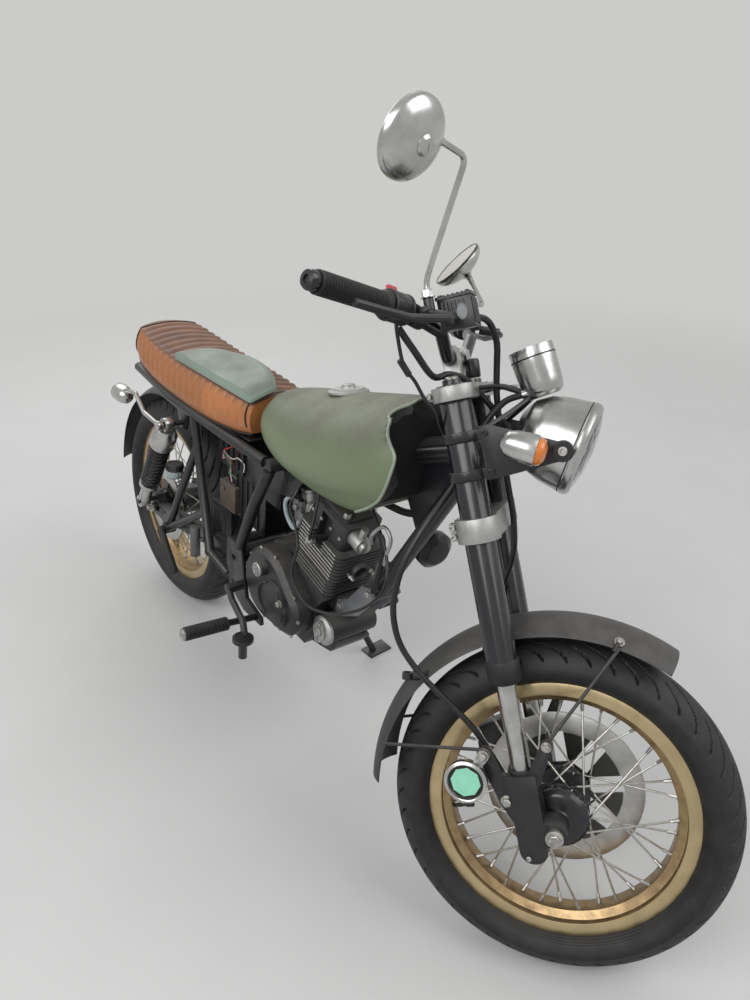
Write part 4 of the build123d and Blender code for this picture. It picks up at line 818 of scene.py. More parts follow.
def link_outline(a, b, r):
    """The waisted outline of a link plate between two pins."""
    along = (b - a).normalized()
    side = Vector((-along.y, along.x))
    found = []
    for centre, start in ((a, pi / 2), (b, -pi / 2)):
        for k in range(6):
            t = start + pi * k / 5
            found.append(centre + r * (cos(t) * along + sin(t) * side))
        found.append((a + b) / 2 - copysign(0.68, start) * r * side)
    return [(p.x, p.y) for p in found]


def chain():
    """Rollers, pins and waisted plates of every link."""
    point, total = chain_path()
    count = 2 * round(total / CHAIN_PITCH / 2)
    pins = [point(total * k / count) for k in range(count)]
    form = Form()
    for k, a in enumerate(pins):
        b = pins[(k + 1) % count]
        inner = k % 2 == 0
        for side in (1, -1):
            near = CHAIN_Y + side * (2.2 if inner else 3.6)
            outline = link_outline(a, b, 4.9 if inner else 4.5)
            form.prism(outline, near, near + side * 1.2)
        for half, r, sides in ((2.1, 3.9, 10), (5.3, 1.9, 8)):
            form.bar((a.x, CHAIN_Y - half, a.y), (a.x, CHAIN_Y + half, a.y), r, sides)
    piece = form.make("chain_links", ON_CHASSIS, grey_plate, merge=False)
    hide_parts("drive_chain")


def sprocket_teeth():
    """The toothed edge of the rear sprocket."""
    teeth = []
    r = sprocket_r(REAR_TEETH)
    for k in range(REAR_TEETH):
        for part, radius in ((0.0, r - 3.4), (0.32, r - 1.0), (0.46, r + 4.2), (0.54, r + 4.2),
                             (0.68, r - 1.0)):
            a = TURN * (k + part) / REAR_TEETH
            teeth.append((radius * cos(a), radius * sin(a)))
    inner = [(r - 12) * Vector(p).normalized() for p in teeth]
    rings = [[Vector((x, y, z)) for x, z in outline] for outline, y in
             ((inner, 72.0), (teeth, 72.0), (teeth, 74.0), (inner, 74.0))]
    Form().skin(rings, loop=True).make("sprocket_teeth", ON_REAR_WHEEL, grey_plate)


# Rear suspension

SHOCK_Y = 140.0
SHOCK_TOP = Vector((180.0, 0, 630.0))
SHOCK_LOW = Vector((5.0, 0, REAR_TYRE_R + 28))
SPRING_TURNS = 11


def springs():
    """Helical springs with closed ends, one on each side."""
    form = Form()
    for side in (-1, 1):
        low = SHOCK_LOW + Vector((0, side * SHOCK_Y, 0))
        top = SHOCK_TOP + Vector((0, side * SHOCK_Y, 0))
        up = (top - low).normalized()
        across = up.orthogonal().normalized()
        other = up.cross(across)
        length = (top - low).length
        start, end = 96.5, length - 84.5
        steps = SPRING_TURNS * 20
        rings = []
        for i in range(steps + 1):
            t = i / steps
            a = TURN * SPRING_TURNS * t
            outward = cos(a) * across + sin(a) * other
            centre = low + up * (start + (end - start) * t) + outward * 23.6
            rings.append([centre + 4.2 * (cos(b) * outward + sin(b) * up) for b in angles(8)])
        form.skin(rings)
    piece = form.make("coil_springs", ON_CHASSIS, gloss_black, merge=False)
    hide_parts("shock_springs")


# Seat

# Seat sections: x, half width, top height, bottom height
SEAT_SECTIONS = [(-180, 60, 800, 744), (-110, 94, 820, 716), (-20, 108, 812, 701), (120, 112, 800, 690),
                 (300, 108, 795, 686), (440, 98, 790, 696), (496, 84, 786, 704)]
CHANNEL_PITCH = 33.0
CHANNEL_DEPTH = 6.5
ROLL_HEIGHT = 1.6
CROWN_HEIGHT = 14
TOP_SHARE = 0.55
SEAT_STEP = 2.2
SEAT_STEPS = 80


def along_table(table, x):
    """Smooth values of a table's other columns at x, its first column."""
    xs = [row[0] for row in table]
    k = max(0, min(len(xs) - 2, sum(1 for v in xs if v <= x) - 1))
    t = clamp((x - xs[k]) / (xs[k + 1] - xs[k]))
    found = []
    for column in range(1, len(table[0])):
        value = [row[column] for row in table]
        b, c = value[k], value[k + 1]
        width = xs[k + 1] - xs[k]
        slope_b = (c - value[k - 1]) / (xs[k + 1] - xs[k - 1]) if k else (c - b) / width
        slope_c = (value[k + 2] - b) / (xs[k + 2] - xs[k]) if k + 2 < len(xs) else (c - b) / width
        h = t * t * (3 - 2 * t)
        bend = slope_b * (t ** 3 - 2 * t * t + t) + slope_c * (t ** 3 - t * t)
        found.append(b + (c - b) * h + bend * width)
    return found


def seat_ring(half, top, low):
    """The seat's outline in one section: a crowned top, full sides that tuck in at the base."""
    found = []
    for k in range(SEAT_STEPS + 1):
        t = 2 * k / SEAT_STEPS - 1
        u = abs(t)
        side = 1 if t >= 0 else -1
        if u < TOP_SHARE:
            v = u / TOP_SHARE
            y = half * 0.86 * v
            z = top - CROWN_HEIGHT * v * v
        else:
            v = (u - TOP_SHARE) / (1 - TOP_SHARE)
            bulge = 4 * v * (1 - v)
            y = half * (0.86 + 0.04 * v) + half * 0.12 * bulge
            z = top - CROWN_HEIGHT + (low - top + CROWN_HEIGHT) * v
        found.append((side * y, z, u))
    return found


def channel_on_side(u):
    """How much of a channel is left at u: full on top, faint on the side, then a pucker."""
    if u < 0.54:
        return 1.0
    faint = 0.32 + 0.68 * max(0.0, 1 - (u - 0.54) / 0.12)
    pucker = 0.55 * exp(-((u - 0.83) / 0.035) ** 2)
    return (faint + pucker) * clamp((0.92 - u) / 0.08)


def seat_row(x):
    """One ring of the cover at x, with its share of the channels and rolls."""
    half, top, low = along_table(SEAT_SECTIONS, x)
    phase = ((x + 70) / CHANNEL_PITCH) % 1.0
    from_seam = min(phase, 1 - phase) * CHANNEL_PITCH
    roll = 1 - exp(-(from_seam / 5.0) ** 1.3)
    end_fade = clamp((x + 92) / 16) * clamp((470 - x) / 20)
    row = []
    for y, z, u in seat_ring(half, top, low):
        fade = end_fade * channel_on_side(u)
        move = ROLL_HEIGHT * fade * sin(pi * phase) - CHANNEL_DEPTH * fade * (1 - roll)
        normal = Vector((0, 0.25 * y / half, 1)) if u < 0.5 else Vector((0, copysign(1.0, y), 0.35))
        normal.normalize()
        row.append((x, y + normal.y * move, z + normal.z * move))
    return row


def seat():
    """Tuck and roll upholstery: soft channels across the top that run out down the sides."""
    rings = []
    x = -178.0
    while x < 494:
        rings.append(seat_row(x))
        x += SEAT_STEP
    piece = Form().skin(rings).make("seat_cover", ON_CHASSIS, leather, crease=70.0, merge=False)
    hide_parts("seat")


def seat_edges():
    """Piping across both ends of the quilting, and the pan's edge under the cover."""
    form = Form()
    for x0, tilt_x in ((-92, -1.0), (474, 0.25)):
        route = []
        for k in range(4, 77, 3):
            x = x0 + (2 * k / SEAT_STEPS - 1) ** 2 * 40 * tilt_x
            half, top, low = along_table(SEAT_SECTIONS, x)
            y, z, u = seat_ring(half, top, low)[k]
            push = Vector((0, copysign(1, y), 0.2))
            if u < 0.5:
                push = Vector((0, y / half * 0.8, 1)).normalized()
            route.append(Vector((x, y, z)) + push * 0.6)
        form.tube(route, 2.4, 8, 3)
    form.make("seat_piping", ON_CHASSIS, plastic, merge=False)
    base = []
    for x in range(-170, 491, 20):
        half, top, low = along_table(SEAT_SECTIONS, x)
        base.append((x, half * 0.9 - 1, low - 3))
    form = Form().tube(base, 3.5, 8, 3).tube(mirrored(base), 3.5, 8, 3)
    form.make("seat_pan_edge", ON_CHASSIS, plastic, merge=False)


# Fuel tank

# Tank sections: x, half width, top height, bottom height
TANK_SECTIONS = [(500, 42, 790, 716), (540, 84, 816, 706), (620, 116, 842, 694), (730, 138, 868, 684),
                 (850, 149, 900, 686), (950, 150, 926, 706), (1012, 143, 938, 744), (1054, 128, 940, 800)]
CAP_CENTRE = Vector((745.0, 0.0, 866.0))
CAP_AXIS = Vector((-0.2, 0.0, 0.98))
CAP_R = 43.0
CROWN_PARTS = 10
FLANK_PARTS = 20


def tank_ring(x, half, top, low):
    """The tank's outline at x: round back, full flanks, tucked hem and a flat belly."""
    shoulder = 0.62 * half
    spread = radians(52)
    tuck = radians(38)
    back_r = shoulder + (half - shoulder) / sin(spread)
    back_z = top - back_r
    y0 = (back_r - shoulder) * sin(spread)
    z0 = back_z + (back_r - shoulder) * cos(spread)
    side = []
    for k in range(CROWN_PARTS):
        a = spread * k / CROWN_PARTS
        side.append((back_r * sin(a), back_z + back_r * cos(a)))
    for k in range(FLANK_PARTS + 1):
        a = (pi / 2 - spread) + (-tuck - (pi / 2 - spread)) * k / FLANK_PARTS
        side.append((y0 + shoulder * cos(a), max(z0 + shoulder * sin(a), low + 4)))
    hem_y, hem_z = side[-1]
    for k in range(1, 5):
        t = k / 4
        side.append((hem_y + (shoulder - hem_y) * t, hem_z + (low - hem_z) * (1 - (1 - t) ** 2)))
    left = [Vector((x, y, z)) for y, z in side]
    right = [Vector((x, -y, z)) for y, z in side[1:]]
    return left + right[::-1]


WIDE_R = 132.0
CUT_TOP = 1000.0
SHELL_FRONT = 1053.2
BEAD_STEP = 8
# In metres: a face this near to the uncut shell is a part of it
ON_SKIN = 0.0004
# What is cut off in front of the flanks' lips: (x, z) points
FRONT_CUT = [(999, 990), (999, 930), (1001, 921), (1008, 913), (1022, 905), (1036, 896), (1045, 884),
             (1050, 868), (1050, 848), (1046, 826), (1038, 804), (1027, 784), (1012, 765), (994, 748),
             (974, 732), (950, 716), (925, 700), (915, 640), (1100, 640), (1100, 990)]


def cut_away(piece, cutters):
    """Subtracts each cutter from a piece and removes the cutters."""
    for cutter in cutters:
        cut = piece.modifiers.new("cut", "BOOLEAN")
        cut.object = cutter
        cut.operation = "DIFFERENCE"
        cut.solver = "EXACT"
    bpy.context.view_layer.update()
    done = piece.evaluated_get(bpy.context.evaluated_depsgraph_get())
    mesh = bpy.data.meshes.new_from_object(done)
    piece.modifiers.clear()
    piece.data = mesh
    for cutter in cutters:
        bpy.data.objects.remove(cutter)


def tool_piece(form, place):
    """A bare closed mesh used only to cut."""
    piece = bpy.data.objects.new("tool", form.closed_mesh("tool", place))
    bpy.context.scene.collection.objects.link(piece)
    return piece


def tank_rings():
    """The shell's sections from its rounded back to the front."""
    rings = []
    x = 500.0
    while x <= 1054.0:
        rings.append(tank_ring(x, *along_table(TANK_SECTIONS, x)))
        x += 6.0 if 520 < x < 1030 else 3.0
    centre = sum(rings[0], Vector()) / len(rings[0])
    closing = [[centre + (p - centre) * size - Vector((back, 0, 0)) for p in rings[0]]
               for size, back in ((0.55, 7.0), (0.82, 4.5), (0.95, 1.8))]
    return closing + rings


def pillar(radius, sides, low=400):
    """A round cutter along the steering axis."""
    return Form().turned([(radius, low), (radius, CUT_TOP)], sides=sides)


def tank_tools():
    """What the shell is cut with: the room that the steering needs, and all in front of the lips."""
    steering = FORK_STRAIGHT @ Matrix.Translation((-STEER_OFFSET, 0, 0))
    reach = acos(-45 / WIDE_R)
    wide = [(WIDE_R * cos(a), WIDE_R * sin(a)) for a in (-reach + 2 * reach * k / 48 for k in range(49))]
    shapes = [(pillar(84, 72), steering),
              (Form().skin([[(x, y, z) for x, y in wide] for z in (400, CUT_TOP)]), steering)]
    for side in (1, -1):
        leg = (steering @ Matrix.Rotation(radians(side * STEER_REST), 4, "Z")
               @ Matrix.Translation((LEG_X + STEER_OFFSET, side * LEG_Y, 0)))
        shapes += [(pillar(OUTER_R + 12, 40), leg), (pillar(52, 48, TOP_CLAMP_Z - 7), leg)]
    shapes.append((Form().prism(FRONT_CUT, -200, 200), CHASSIS))
    shapes.append((Form().block((992, -102, 560), (1100, 102, 1000)), CHASSIS))
    return [tool_piece(form, place) for form, place in shapes]


def fuel_tank():
    """A teardrop tank with a deep notch for the steering head and a beaded front edge."""
    tank = Form().skin(tank_rings()).make("tank_shell", ON_CHASSIS, sage, crease=40.0, merge=False)
    tools = tank_tools()
    outer = BVHTree.FromObject(tank, bpy.context.evaluated_depsgraph_get())
    cut_away(tank, tools)
    edge_bead(tank, outer, 3.0)
    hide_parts("fuel_tank")


def paint_shade_on_cuts(mesh, outer, to_local):
    """Gives the faces that the cuts left a near-black painted shade, and says which faces they are."""
    mesh.materials.append(cut_face_painted_shade)
    inner = []
    for face in mesh.polygons:
        _, normal, _, far = outer.find_nearest(face.center)
        outside = far < ON_SKIN and abs(normal.dot(face.normal)) > 0.9
        skin = outside and (to_local @ face.center).x < SHELL_FRONT
        inner.append(not skin)
        face.material_index = 0 if skin else 1
    return inner


def border_links(mesh, inner):
    """Each vertex between shell and cut faces, with its neighbours along that border."""
    edge_faces = {}
    for face in mesh.polygons:
        for key in face.edge_keys:
            edge_faces.setdefault(key, []).append(face.index)
    links = {}
    for (a, b), faces in edge_faces.items():
        if len(faces) == 2 and inner[faces[0]] != inner[faces[1]]:
            links.setdefault(a, []).append(b)
            links.setdefault(b, []).append(a)
    return links


def border_lines(links):
    """The border's vertices in lines, each as long as it goes."""
    used = set()
    lines = []
    for start in [v for v, near in links.items() if len(near) == 1] + list(links):
        line = []
        onward = [] if start in used else [start]
        while onward:
            line.append(onward[0])
            used.add(onward[0])
            onward = [v for v in links[line[-1]] if v not in used]
        lines.append(line)
    return [line for line in lines if line]


def edge_bead(tank, outer, radius):
    """Painted shade on the faces where the shell was cut, and a rolled lip along their edge in a paler copy
    of the paint as a painted highlight.
    """
    to_local = CHASSIS.inverted()
    mesh = tank.data
    inner = paint_shade_on_cuts(mesh, outer, to_local)
    form = Form()
    for line in border_lines(border_links(mesh, inner)):
        points = [to_local @ mesh.vertices[v].co for v in line]
        thin = [points[0]]
        for p in points[1:]:
            if (p - thin[-1]).length > BEAD_STEP:
                thin.append(p)
        if len(thin) > 8:
            thin = [(a + 2 * b + c) / 4 for a, b, c in zip(thin, thin[1:], thin[2:])]
            form.tube(thin, radius, 10, 2)
    # The lip's paler paint is a painted highlight
    form.make("tank_bead", ON_CHASSIS, sage_lip_painted_highlight, merge=False)


# Side covers

COVER_CENTRE = Vector((190.0, 14.0))
# Size and height of each ring from the hollow inside, over the rim, to the middle of the face
COVER_RINGS = [(0.02, 19.2), (0.4, 19.3), (0.72, 19.8), (0.80, 21.0), (0.87, 19.6), (0.93, 14.5),
               (0.965, 8), (0.984, 0), (0.984, 0), (1.0, 0), (1.0, 0.2), (1.0, 6.5), (0.992, 10),
               (0.975, 13.6), (0.948, 17), (0.912, 20.2), (0.872, 22.6), (0.832, 23.8), (0.795, 24.0),
               (0.765, 23.6), (0.73, 22.9), (0.66, 22.5), (0.4, 22.3), (0.02, 22.2)]


def arc_points(a, m, b, count):
    """Points on the circle through three points, without its last one."""
    a, m, b = Vector(a), Vector(m), Vector(b)
    d = 2 * (a.x * (m.y - b.y) + m.x * (b.y - a.y) + b.x * (a.y - m.y))
    sa, sm, sb = a.length_squared, m.length_squared, b.length_squared
    centre = Vector(((sa * (m.y - b.y) + sm * (b.y - a.y) + sb * (a.y - m.y)) / d,
                     (sa * (b.x - m.x) + sm * (a.x - b.x) + sb * (m.x - a.x)) / d))
    first = atan2(a.y - centre.y, a.x - centre.x)
    turn = (atan2(b.y - centre.y, b.x - centre.x) - first) % TURN
    r = (a - centre).length
    return [centre + r * Vector((cos(first + turn * k / count), sin(first + turn * k / count)))
            for k in range(count)]


def cover_outline():
    """The D-shaped outline from its rear lower corner, round by the heel and the arc."""
    found = [Vector((x, 0)) for x in range(6, 376, 10)]
    found += [Vector((377, 1)), Vector((379.4, 4)), Vector((379.4, 10))]
    found += [Vector((379.4 - 0.147 * (z - 10), z)) for z in range(18, 70, 8)]
    found += [Vector((369.5, 73)), Vector((364, 80))]
    found += arc_points((360, 82.5), (250, 122), (120, 104), 26)
    found += arc_points((120, 104), (34, 62), (1, 4), 16)
    return found + [Vector((1, 4)), Vector((2.6, 0.8))]


def side_covers():
    """Pressed covers with a round shoulder and a flat face: one fitted, one lying loose on the seat."""
    outline = cover_outline()
    rings = [[Vector((*(COVER_CENTRE + (p - COVER_CENTRE) * size), height)) for p in outline]
             for size, height in COVER_RINGS]
    loose = CHASSIS @ Matrix.Translation((135, -98, 787)) @ Matrix.Rotation(radians(14), 4, "X")
    fitted = (CHASSIS @ Matrix.Translation((600, 127.5, 520)) @ Matrix.Rotation(pi, 4, "Z")
              @ Matrix.Rotation(pi / 2, 4, "X"))
    for name, place in (("loose_cover", loose), ("fitted_cover", fitted)):
        piece = Form().skin(rings).make(name, (place, "chassis"), pale_sage, crease=50.0)
        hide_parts("side_covers")


def cap_detail():
    """The cap's lock barrel, its cover and the finger grips round its edge."""
    form = Form()
    top = CAP_CENTRE + CAP_AXIS * 12
    form.turned([(CAP_R - 9, 0), (CAP_R - 9, 1.5), (CAP_R - 13, 2.2), (18, 2.2)], top, CAP_AXIS, 48)
    form.turned([(13.5, 5.5), (13.5, 9), (11, 10.5), (4, 10.5), (3.5, 9.5), (0, 9.5)], top, CAP_AXIS, 32)
    form.block((-9, -2, 8.6), (9, 2, 11), Matrix.Translation(top) @ facing(CAP_AXIS))
    form.make("cap_detail", ON_CHASSIS, silver, bevel=0.4)


# Front end details

def fork_details():
    """Pinch bolts, caps, dust seals and the bolts of the axle brackets."""
    seals = Form()
    bolts = Form()
    for side in (-1, 1):
        y = side * LEG_Y
        seals.turned([(17.7, -7), (24, -7), (27, -4), (28.8, 0), (28.8, 30), (27.2, 33), (26.1, 33),
                      (26.1, -1), (17.7, -2)], (LEG_X, y, OUTER_LOW), UP, 40)
        seals.turned([(17.7, 0), (21, 0), (21, 5), (17.7, 7)], (LEG_X, y, 105), UP, 32)
        bolts.turned([(0, 0), (12.5, 0), (12.5, 3), (10, 5), (4, 5), (4, 2), (0, 2)],
                     (LEG_X, y, OUTER_TOP + 8.1), UP, 24)
        for z in (LOWER_CLAMP_Z + 12, LOWER_CLAMP_Z + 28):
            bolts.cap_screw((LEG_X - 40, y - side * 9.2, z), (0, -side, 0), 5.5, 6)
            bolts.cap_screw((LEG_X - 40, y + side * 9.2, z), (0, side, 0), 5.5, 6)
        bolts.cap_screw((LEG_X - 40, y + side * 9.2, TOP_CLAMP_Z + 12), (0, side, 0), 5.5, 6)
        for x, z, across, head in ((-96, 147, 14, 8), (-71, 62, 14, 8), (11, 153, 12, 7)):
            bolts.bolt((x, side * 112.2, z), (0, side, 0), across, head)
        bolts.bolt((0, side * 129.2, 0), (0, side, 0), 17, 5, False)
        bolts.cap_screw((LEG_X - 10, side * 117.2, -38), (0, side, 0), 4.5, 5)
        for dy in (-16, 16):
            for dx in (-8, 8):
                bolts.cap_screw((-45 + dx, side * 42 + dy * 0.55, 829.2), UP, 3.6, 4.5)
    bolts.turned([(0, 0), (17, 0), (17, 9), (13, 12), (8, 12), (7, 9), (0, 9)], (-STEER_OFFSET, 0, 776.2),
                 UP, 6)
    seals.make("fork_seals", ON_FORK, rubber)
    bolts.make("fork_bolts", ON_FORK, bolt_steel, bevel=0.3)


def guard_details():
    """The front stay's lug and bolt on the mudguard, and the clip that holds the speedometer cable to it."""
    steel = Form()
    steel.disc(9, 0, 3, (150, -52, 300), (0.35, -0.6, 0.72), 20)
    steel.bolt((151, -54, 302), (0.35, -0.6, 0.72), 10, 5, False)
    steel.make("guard_bolt", ON_FORK, bolt_steel, bevel=0.3)
    dark = Form()
    dark.tube([(140, -67, 290), (144, -62, 295), (148, -56, 300)], 4.0, 10, 4)
    dark.tube([(-186, -50, 278), (-198, -66, 274), (-210, -78, 280), (-220, -86, 288)], 4.5, 10, 4)
    dark.turned([(6.5, -6), (9.5, -6), (9.5, 6), (6.5, 6)], (-214, -82, 285), (0.2, 0.1, 0.97), 18,
                loop=True)
    dark.make("guard_lugs", ON_FORK, black_metal)


LAMP_CENTRE = Vector((128.0, 0.0, 628.0))
LAMP_AXIS = Vector((0.848, 0.0, -0.53))
LAMP_R = 80.0


def headlight_details():
    """Reflector, bulb cap, the seam line and the ear bolts."""
    form = Form()
    form.turned([(LAMP_R - 12, 3.6), (58, -14), (40, -34), (20, -46), (0, -50)], LAMP_CENTRE, LAMP_AXIS, 48)
    form.turned([(0, -44), (9, -44), (9, -24), (6, -20), (0, -19)], LAMP_CENTRE, LAMP_AXIS, 20)
    form.make("lamp_reflector", ON_FORK, chrome)
    dark = Form()
    dark.turned([(LAMP_R + 0.2, -0.6), (LAMP_R + 0.7, -0.4), (LAMP_R + 0.7, 1.4), (LAMP_R + 0.2, 1.6)],
                LAMP_CENTRE, LAMP_AXIS, 64, loop=True)
    dark.make("lamp_gasket", ON_FORK, rubber)
    bolts = Form()
    black = Form()
    for side in (-1, 1):
        black.turned([(0, 0), (17.5, 0), (17.5, 3), (15.5, 4.5), (8, 4.5), (0, 4.5)],
                     (118, side * 108.1, 632), (0, side, 0), 32)
        bolts.cap_screw((118, side * 112.6, 632), (0, side, 0), 7.5, 6)
        for x, z in ((2, 682), (2, 618)):
            black.cap_screw((x, side * 108.1, z), (0, side, 0), 5.2, 4.5)
    bolts.make("lamp_bolts", ON_FORK, bolt_steel, bevel=0.3)
    black.make("ear_bolts", ON_FORK, gloss_black, bevel=0.3)


def steering_details():
    """The top clamp's knob, the gauge's struts, and the loom and cable of the right control."""
    black = Form()
    black.turned([(0, 0), (12, 0), (13, 4), (13, 28), (11, 32), (5, 33), (0, 33)], (-21, 4, 776),
                 (0.05, 0, 1), 28)
    for side in (-1, 1):
        black.tube([(-10, side * 30, 756), (24, side * 27, 752), (66, side * 16, 730)], 4.2, 8, 4)
        black.tube([(72, side * 22, 724), (40, side * 60, 706), (6, side * 102, 690)], 4.2, 8, 4)
    black.make("gauge_struts", ON_FORK, black_metal)
    loom = Form()
    loom.tube([(-84, -196, 866), (-72, -172, 828), (-62, -120, 786), (-44, -82, 786), (-24, -50, 772),
               (0, -24, 730), (20, -10, 690), (34, 0, 650)], 5.6, 10, 6)
    loom.make("control_loom", ON_FORK, cable_black)
    throttle = Form()
    throttle.tube([(-78, -222, 872), (-86, -200, 850), (-93, -170, 809), (-85, -150, 782), (-78, -136, 752),
                   (-68, -122, 730), (-70, -104, 708), (-69, -82, 688), (-56, -66, 668)], 3.0, 8, 6)
    throttle.turned([(3, -16), (5.4, -14), (5.4, 14), (3, 16)], (-93, -168, 806), (-0.25, -0.42, 0.87), 14)
    throttle.make("throttle_cable", ON_FORK, cable_black)


def indicator_lenses():
    """Amber lenses in the ends of the bullet shells."""
    front = Form()
    rear = Form()
    profile = [(0, 22.2), (22.5, 22.2), (22.5, 26), (20, 32), (12, 36.5), (0, 38)]
    for side in (-1, 1):
        front.turned(profile, (62, side * 138, 650), (0.9, 0, -0.43), 32)
        rear.turned(profile, (-62, side * 160, 640), (-1, 0, 0), 32)
    front.make("front_lenses", ON_FORK, amber_lens)
    rear.make("rear_lenses", ON_CHASSIS, amber_lens)


GAUGE_BOTTOM = Vector((95.0, 0.0, 722.0))
GAUGE_AXIS = Vector((-0.147, 0.0, 0.989))


def gauge_details():
    """Bezel line, dial with plain ticks, needle and glass."""
    Form().disc(34.6, 74.4, 75.2, GAUGE_BOTTOM, GAUGE_AXIS, 40).make("gauge_dial", ON_FORK, dial_white)
    place = Matrix.Translation(GAUGE_BOTTOM) @ facing(GAUGE_AXIS)
    marks = Form()
    for k in range(13):
        tick = place @ Matrix.Rotation(radians(-135 + 22.5 * k), 4, "Z")
        marks.block((25 if k % 2 else 22, -0.7, 75.2), (32, 0.7, 75.7), tick)
    needle = place @ Matrix.Rotation(radians(-135), 4, "Z")
    marks.block((-6, -1.0, 76.4), (26, 1.0, 77.2), needle)
    marks.turned([(0, 75.3), (4.5, 75.3), (4.5, 78), (0, 78.4)], GAUGE_BOTTOM, GAUGE_AXIS, 20)
    marks.turned([(38.3, 66), (38.9, 66.4), (38.9, 68.2), (38.3, 68.6)], GAUGE_BOTTOM, GAUGE_AXIS, 56)
    marks.make("gauge_marks", ON_FORK, plastic)
    glass = Form().turned([(0, 82), (34.7, 82), (34.7, 83.2), (20, 84.2), (0, 84.6)], GAUGE_BOTTOM,
                          GAUGE_AXIS, 40)
    glass.make("gauge_glass", ON_FORK, plain_glass)


MIRROR_R = 56.0
MIRROR_HEADS = {-1: ((20, -332, 1078), (0.68, -0.32, -0.66)), 1: ((-65, 300, 1018), (0.45, 0.4, -0.79))}
MIRROR_STEMS = {-1: [(-31.2, -190.8, 900), (-29.2, -190.8, 924.3), (68, -236, 1066), (46, -300, 1079)],
                1: [(-31.2, 190.8, 900), (-29.2, 190.8, 924.3), (-20, 236, 920), (-44, 280, 984)]}


def rounded_route(route, radius, steps=5):
    """A route with its corners turned into short curves."""
    pts = [Vector(p) for p in route]
    found = [pts[0]]
    for a, b, c in zip(pts, pts[1:], pts[2:]):
        p = b + (a - b).normalized() * min(radius, (a - b).length * 0.45)
        q = b + (c - b).normalized() * min(radius, (c - b).length * 0.45)
        for k in range(steps + 1):
            t = k / steps
            found.append((1 - t) ** 2 * p + 2 * t * (1 - t) * b + t * t * q)
    return found + [pts[-1]]


def mirror_details():
    """Round mirrors on bent stems: domed backs, a tapered neck, silvered glass in a rolled rim."""
    metal = Form()
    glass = Form()
    r = MIRROR_R
    dome = [(r - 1, -8), (r, -7), (r, -1), (r - 1.5, 1.8), (r * 0.93, 5), (r * 0.84, 9.4), (r * 0.72, 13.6),
            (r * 0.58, 17.2), (r * 0.42, 19.9), (r * 0.22, 21.6), (0, 22)]
    for side, (centre, away) in MIRROR_HEADS.items():
        axis = Vector(away).normalized()
        hub = Vector(centre) + axis * 18
        metal.turned([(0, -8)] + dome, centre, axis, 64)
        stem = MIRROR_STEMS[side]
        metal.tube(rounded_route(stem, 16), 4.6, 14, 1)
        end = Vector(stem[-1])
        back = (Vector(stem[-2]) - end).normalized()
        metal.tube([end + back * 10, end, end.lerp(hub, 0.5) + axis * 3, hub], 5.2, 16, 4,
                   radii=lambda t: 5.2 + 5.2 * t * t)
        metal.turned([(0, 0), (15, 0), (14.5, 4), (11, 8), (0, 9)], hub, axis, 28)
        metal.bolt(Vector(stem[0]) - Vector((0, 0, 2)), UP, 15, 11)
        glass.disc(r - 3, -8.6, -8.05, centre, axis, 64)
        # Painted shade: the left rim is made black and the right one chrome, though the mirrors are a pair
        rim = Form().turned([(r - 3.2, -8.1), (r - 2.6, -9.6), (r - 0.6, -9.8), (r + 0.5, -8.4),
                             (r + 0.5, -5.6), (r - 0.6, -5)], centre, axis, 64, loop=True)
        rim.make("mirror_rim_right" if side < 0 else "mirror_rim_left_painted_shade", ON_FORK,
                 chrome if side < 0 else gloss_black)
    piece = metal.make("mirror_heads", ON_FORK, chrome, merge=False)
    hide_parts("mirrors")
    glass.make("mirror_glasses", ON_FORK, mirror_glass)


def permit_details():
    """The blank disc behind its glass."""
    centre = Vector((-131, -119, 108))
    Form().disc(31, 12.2, 12.5, centre, RIGHT, 40).make("permit_backing", ON_FORK, rubber)
    Form().disc(26, 12.6, 12.9, centre, RIGHT, 8, start=0.5).make("permit_disc", ON_FORK, permit_green)
    ring = Form().turned([(30.5, 12.2), (31, 15.4), (32.6, 16.4), (34, 15.6), (34.4, 12.2)], centre,
                         RIGHT, 48, loop=True)
    ring.make("permit_ring", ON_FORK, chrome)
    Form().bolt((-96, -121.6, 147), RIGHT, 12, 6).make("permit_bolt", ON_FORK, bolt_steel, bevel=0.3)


# The handlebar's right half, from its middle to its end
BAR_ROUTE = [Vector(p) for p in ((-45, 0, 812), (-45, -66, 812), (-36, -122, 852), (-62, -215, 884),
                                 (-132, -388, 925))]


def on_bar(side, k, along):
    """A point of the bar on one side: along from its point k to the next."""
    p = BAR_ROUTE[k].lerp(BAR_ROUTE[k + 1], along)
    return Vector((p.x, p.y * -side, p.z))


def grip_details():
    """Spiral grips with end weights."""
    form = Form()
    ends = Form()
    for side in (-1, 1):
        inner = on_bar(side, 3, 0.25)
        outer = on_bar(side, 3, 0.985)
        axis = (outer - inner).normalized()
        length = (outer - inner).length
        profile = [(11.2, 0), (20.5, 0), (20.5, 4), (18, 7)]
        for k in range(int((length - 14) / 5)):
            base = 9 + 5 * k
            profile += [(17.2, base), (17.2, base + 2.6), (15.9, base + 3.2), (15.9, base + 4.4)]
        profile += [(17.2, length - 3), (16, length), (11.2, length)]
        form.turned(profile, inner, axis, 28)
        ends.turned([(0, 2.2), (11, 2.2), (14, 3), (14.5, 12), (12.5, 16), (6, 17), (5, 14), (0, 14)],
                    outer, axis, 28)
    piece = form.make("grip_rubbers", ON_FORK, rubber)
    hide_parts("grips")
    ends.make("bar_weights", ON_FORK, gloss_black)


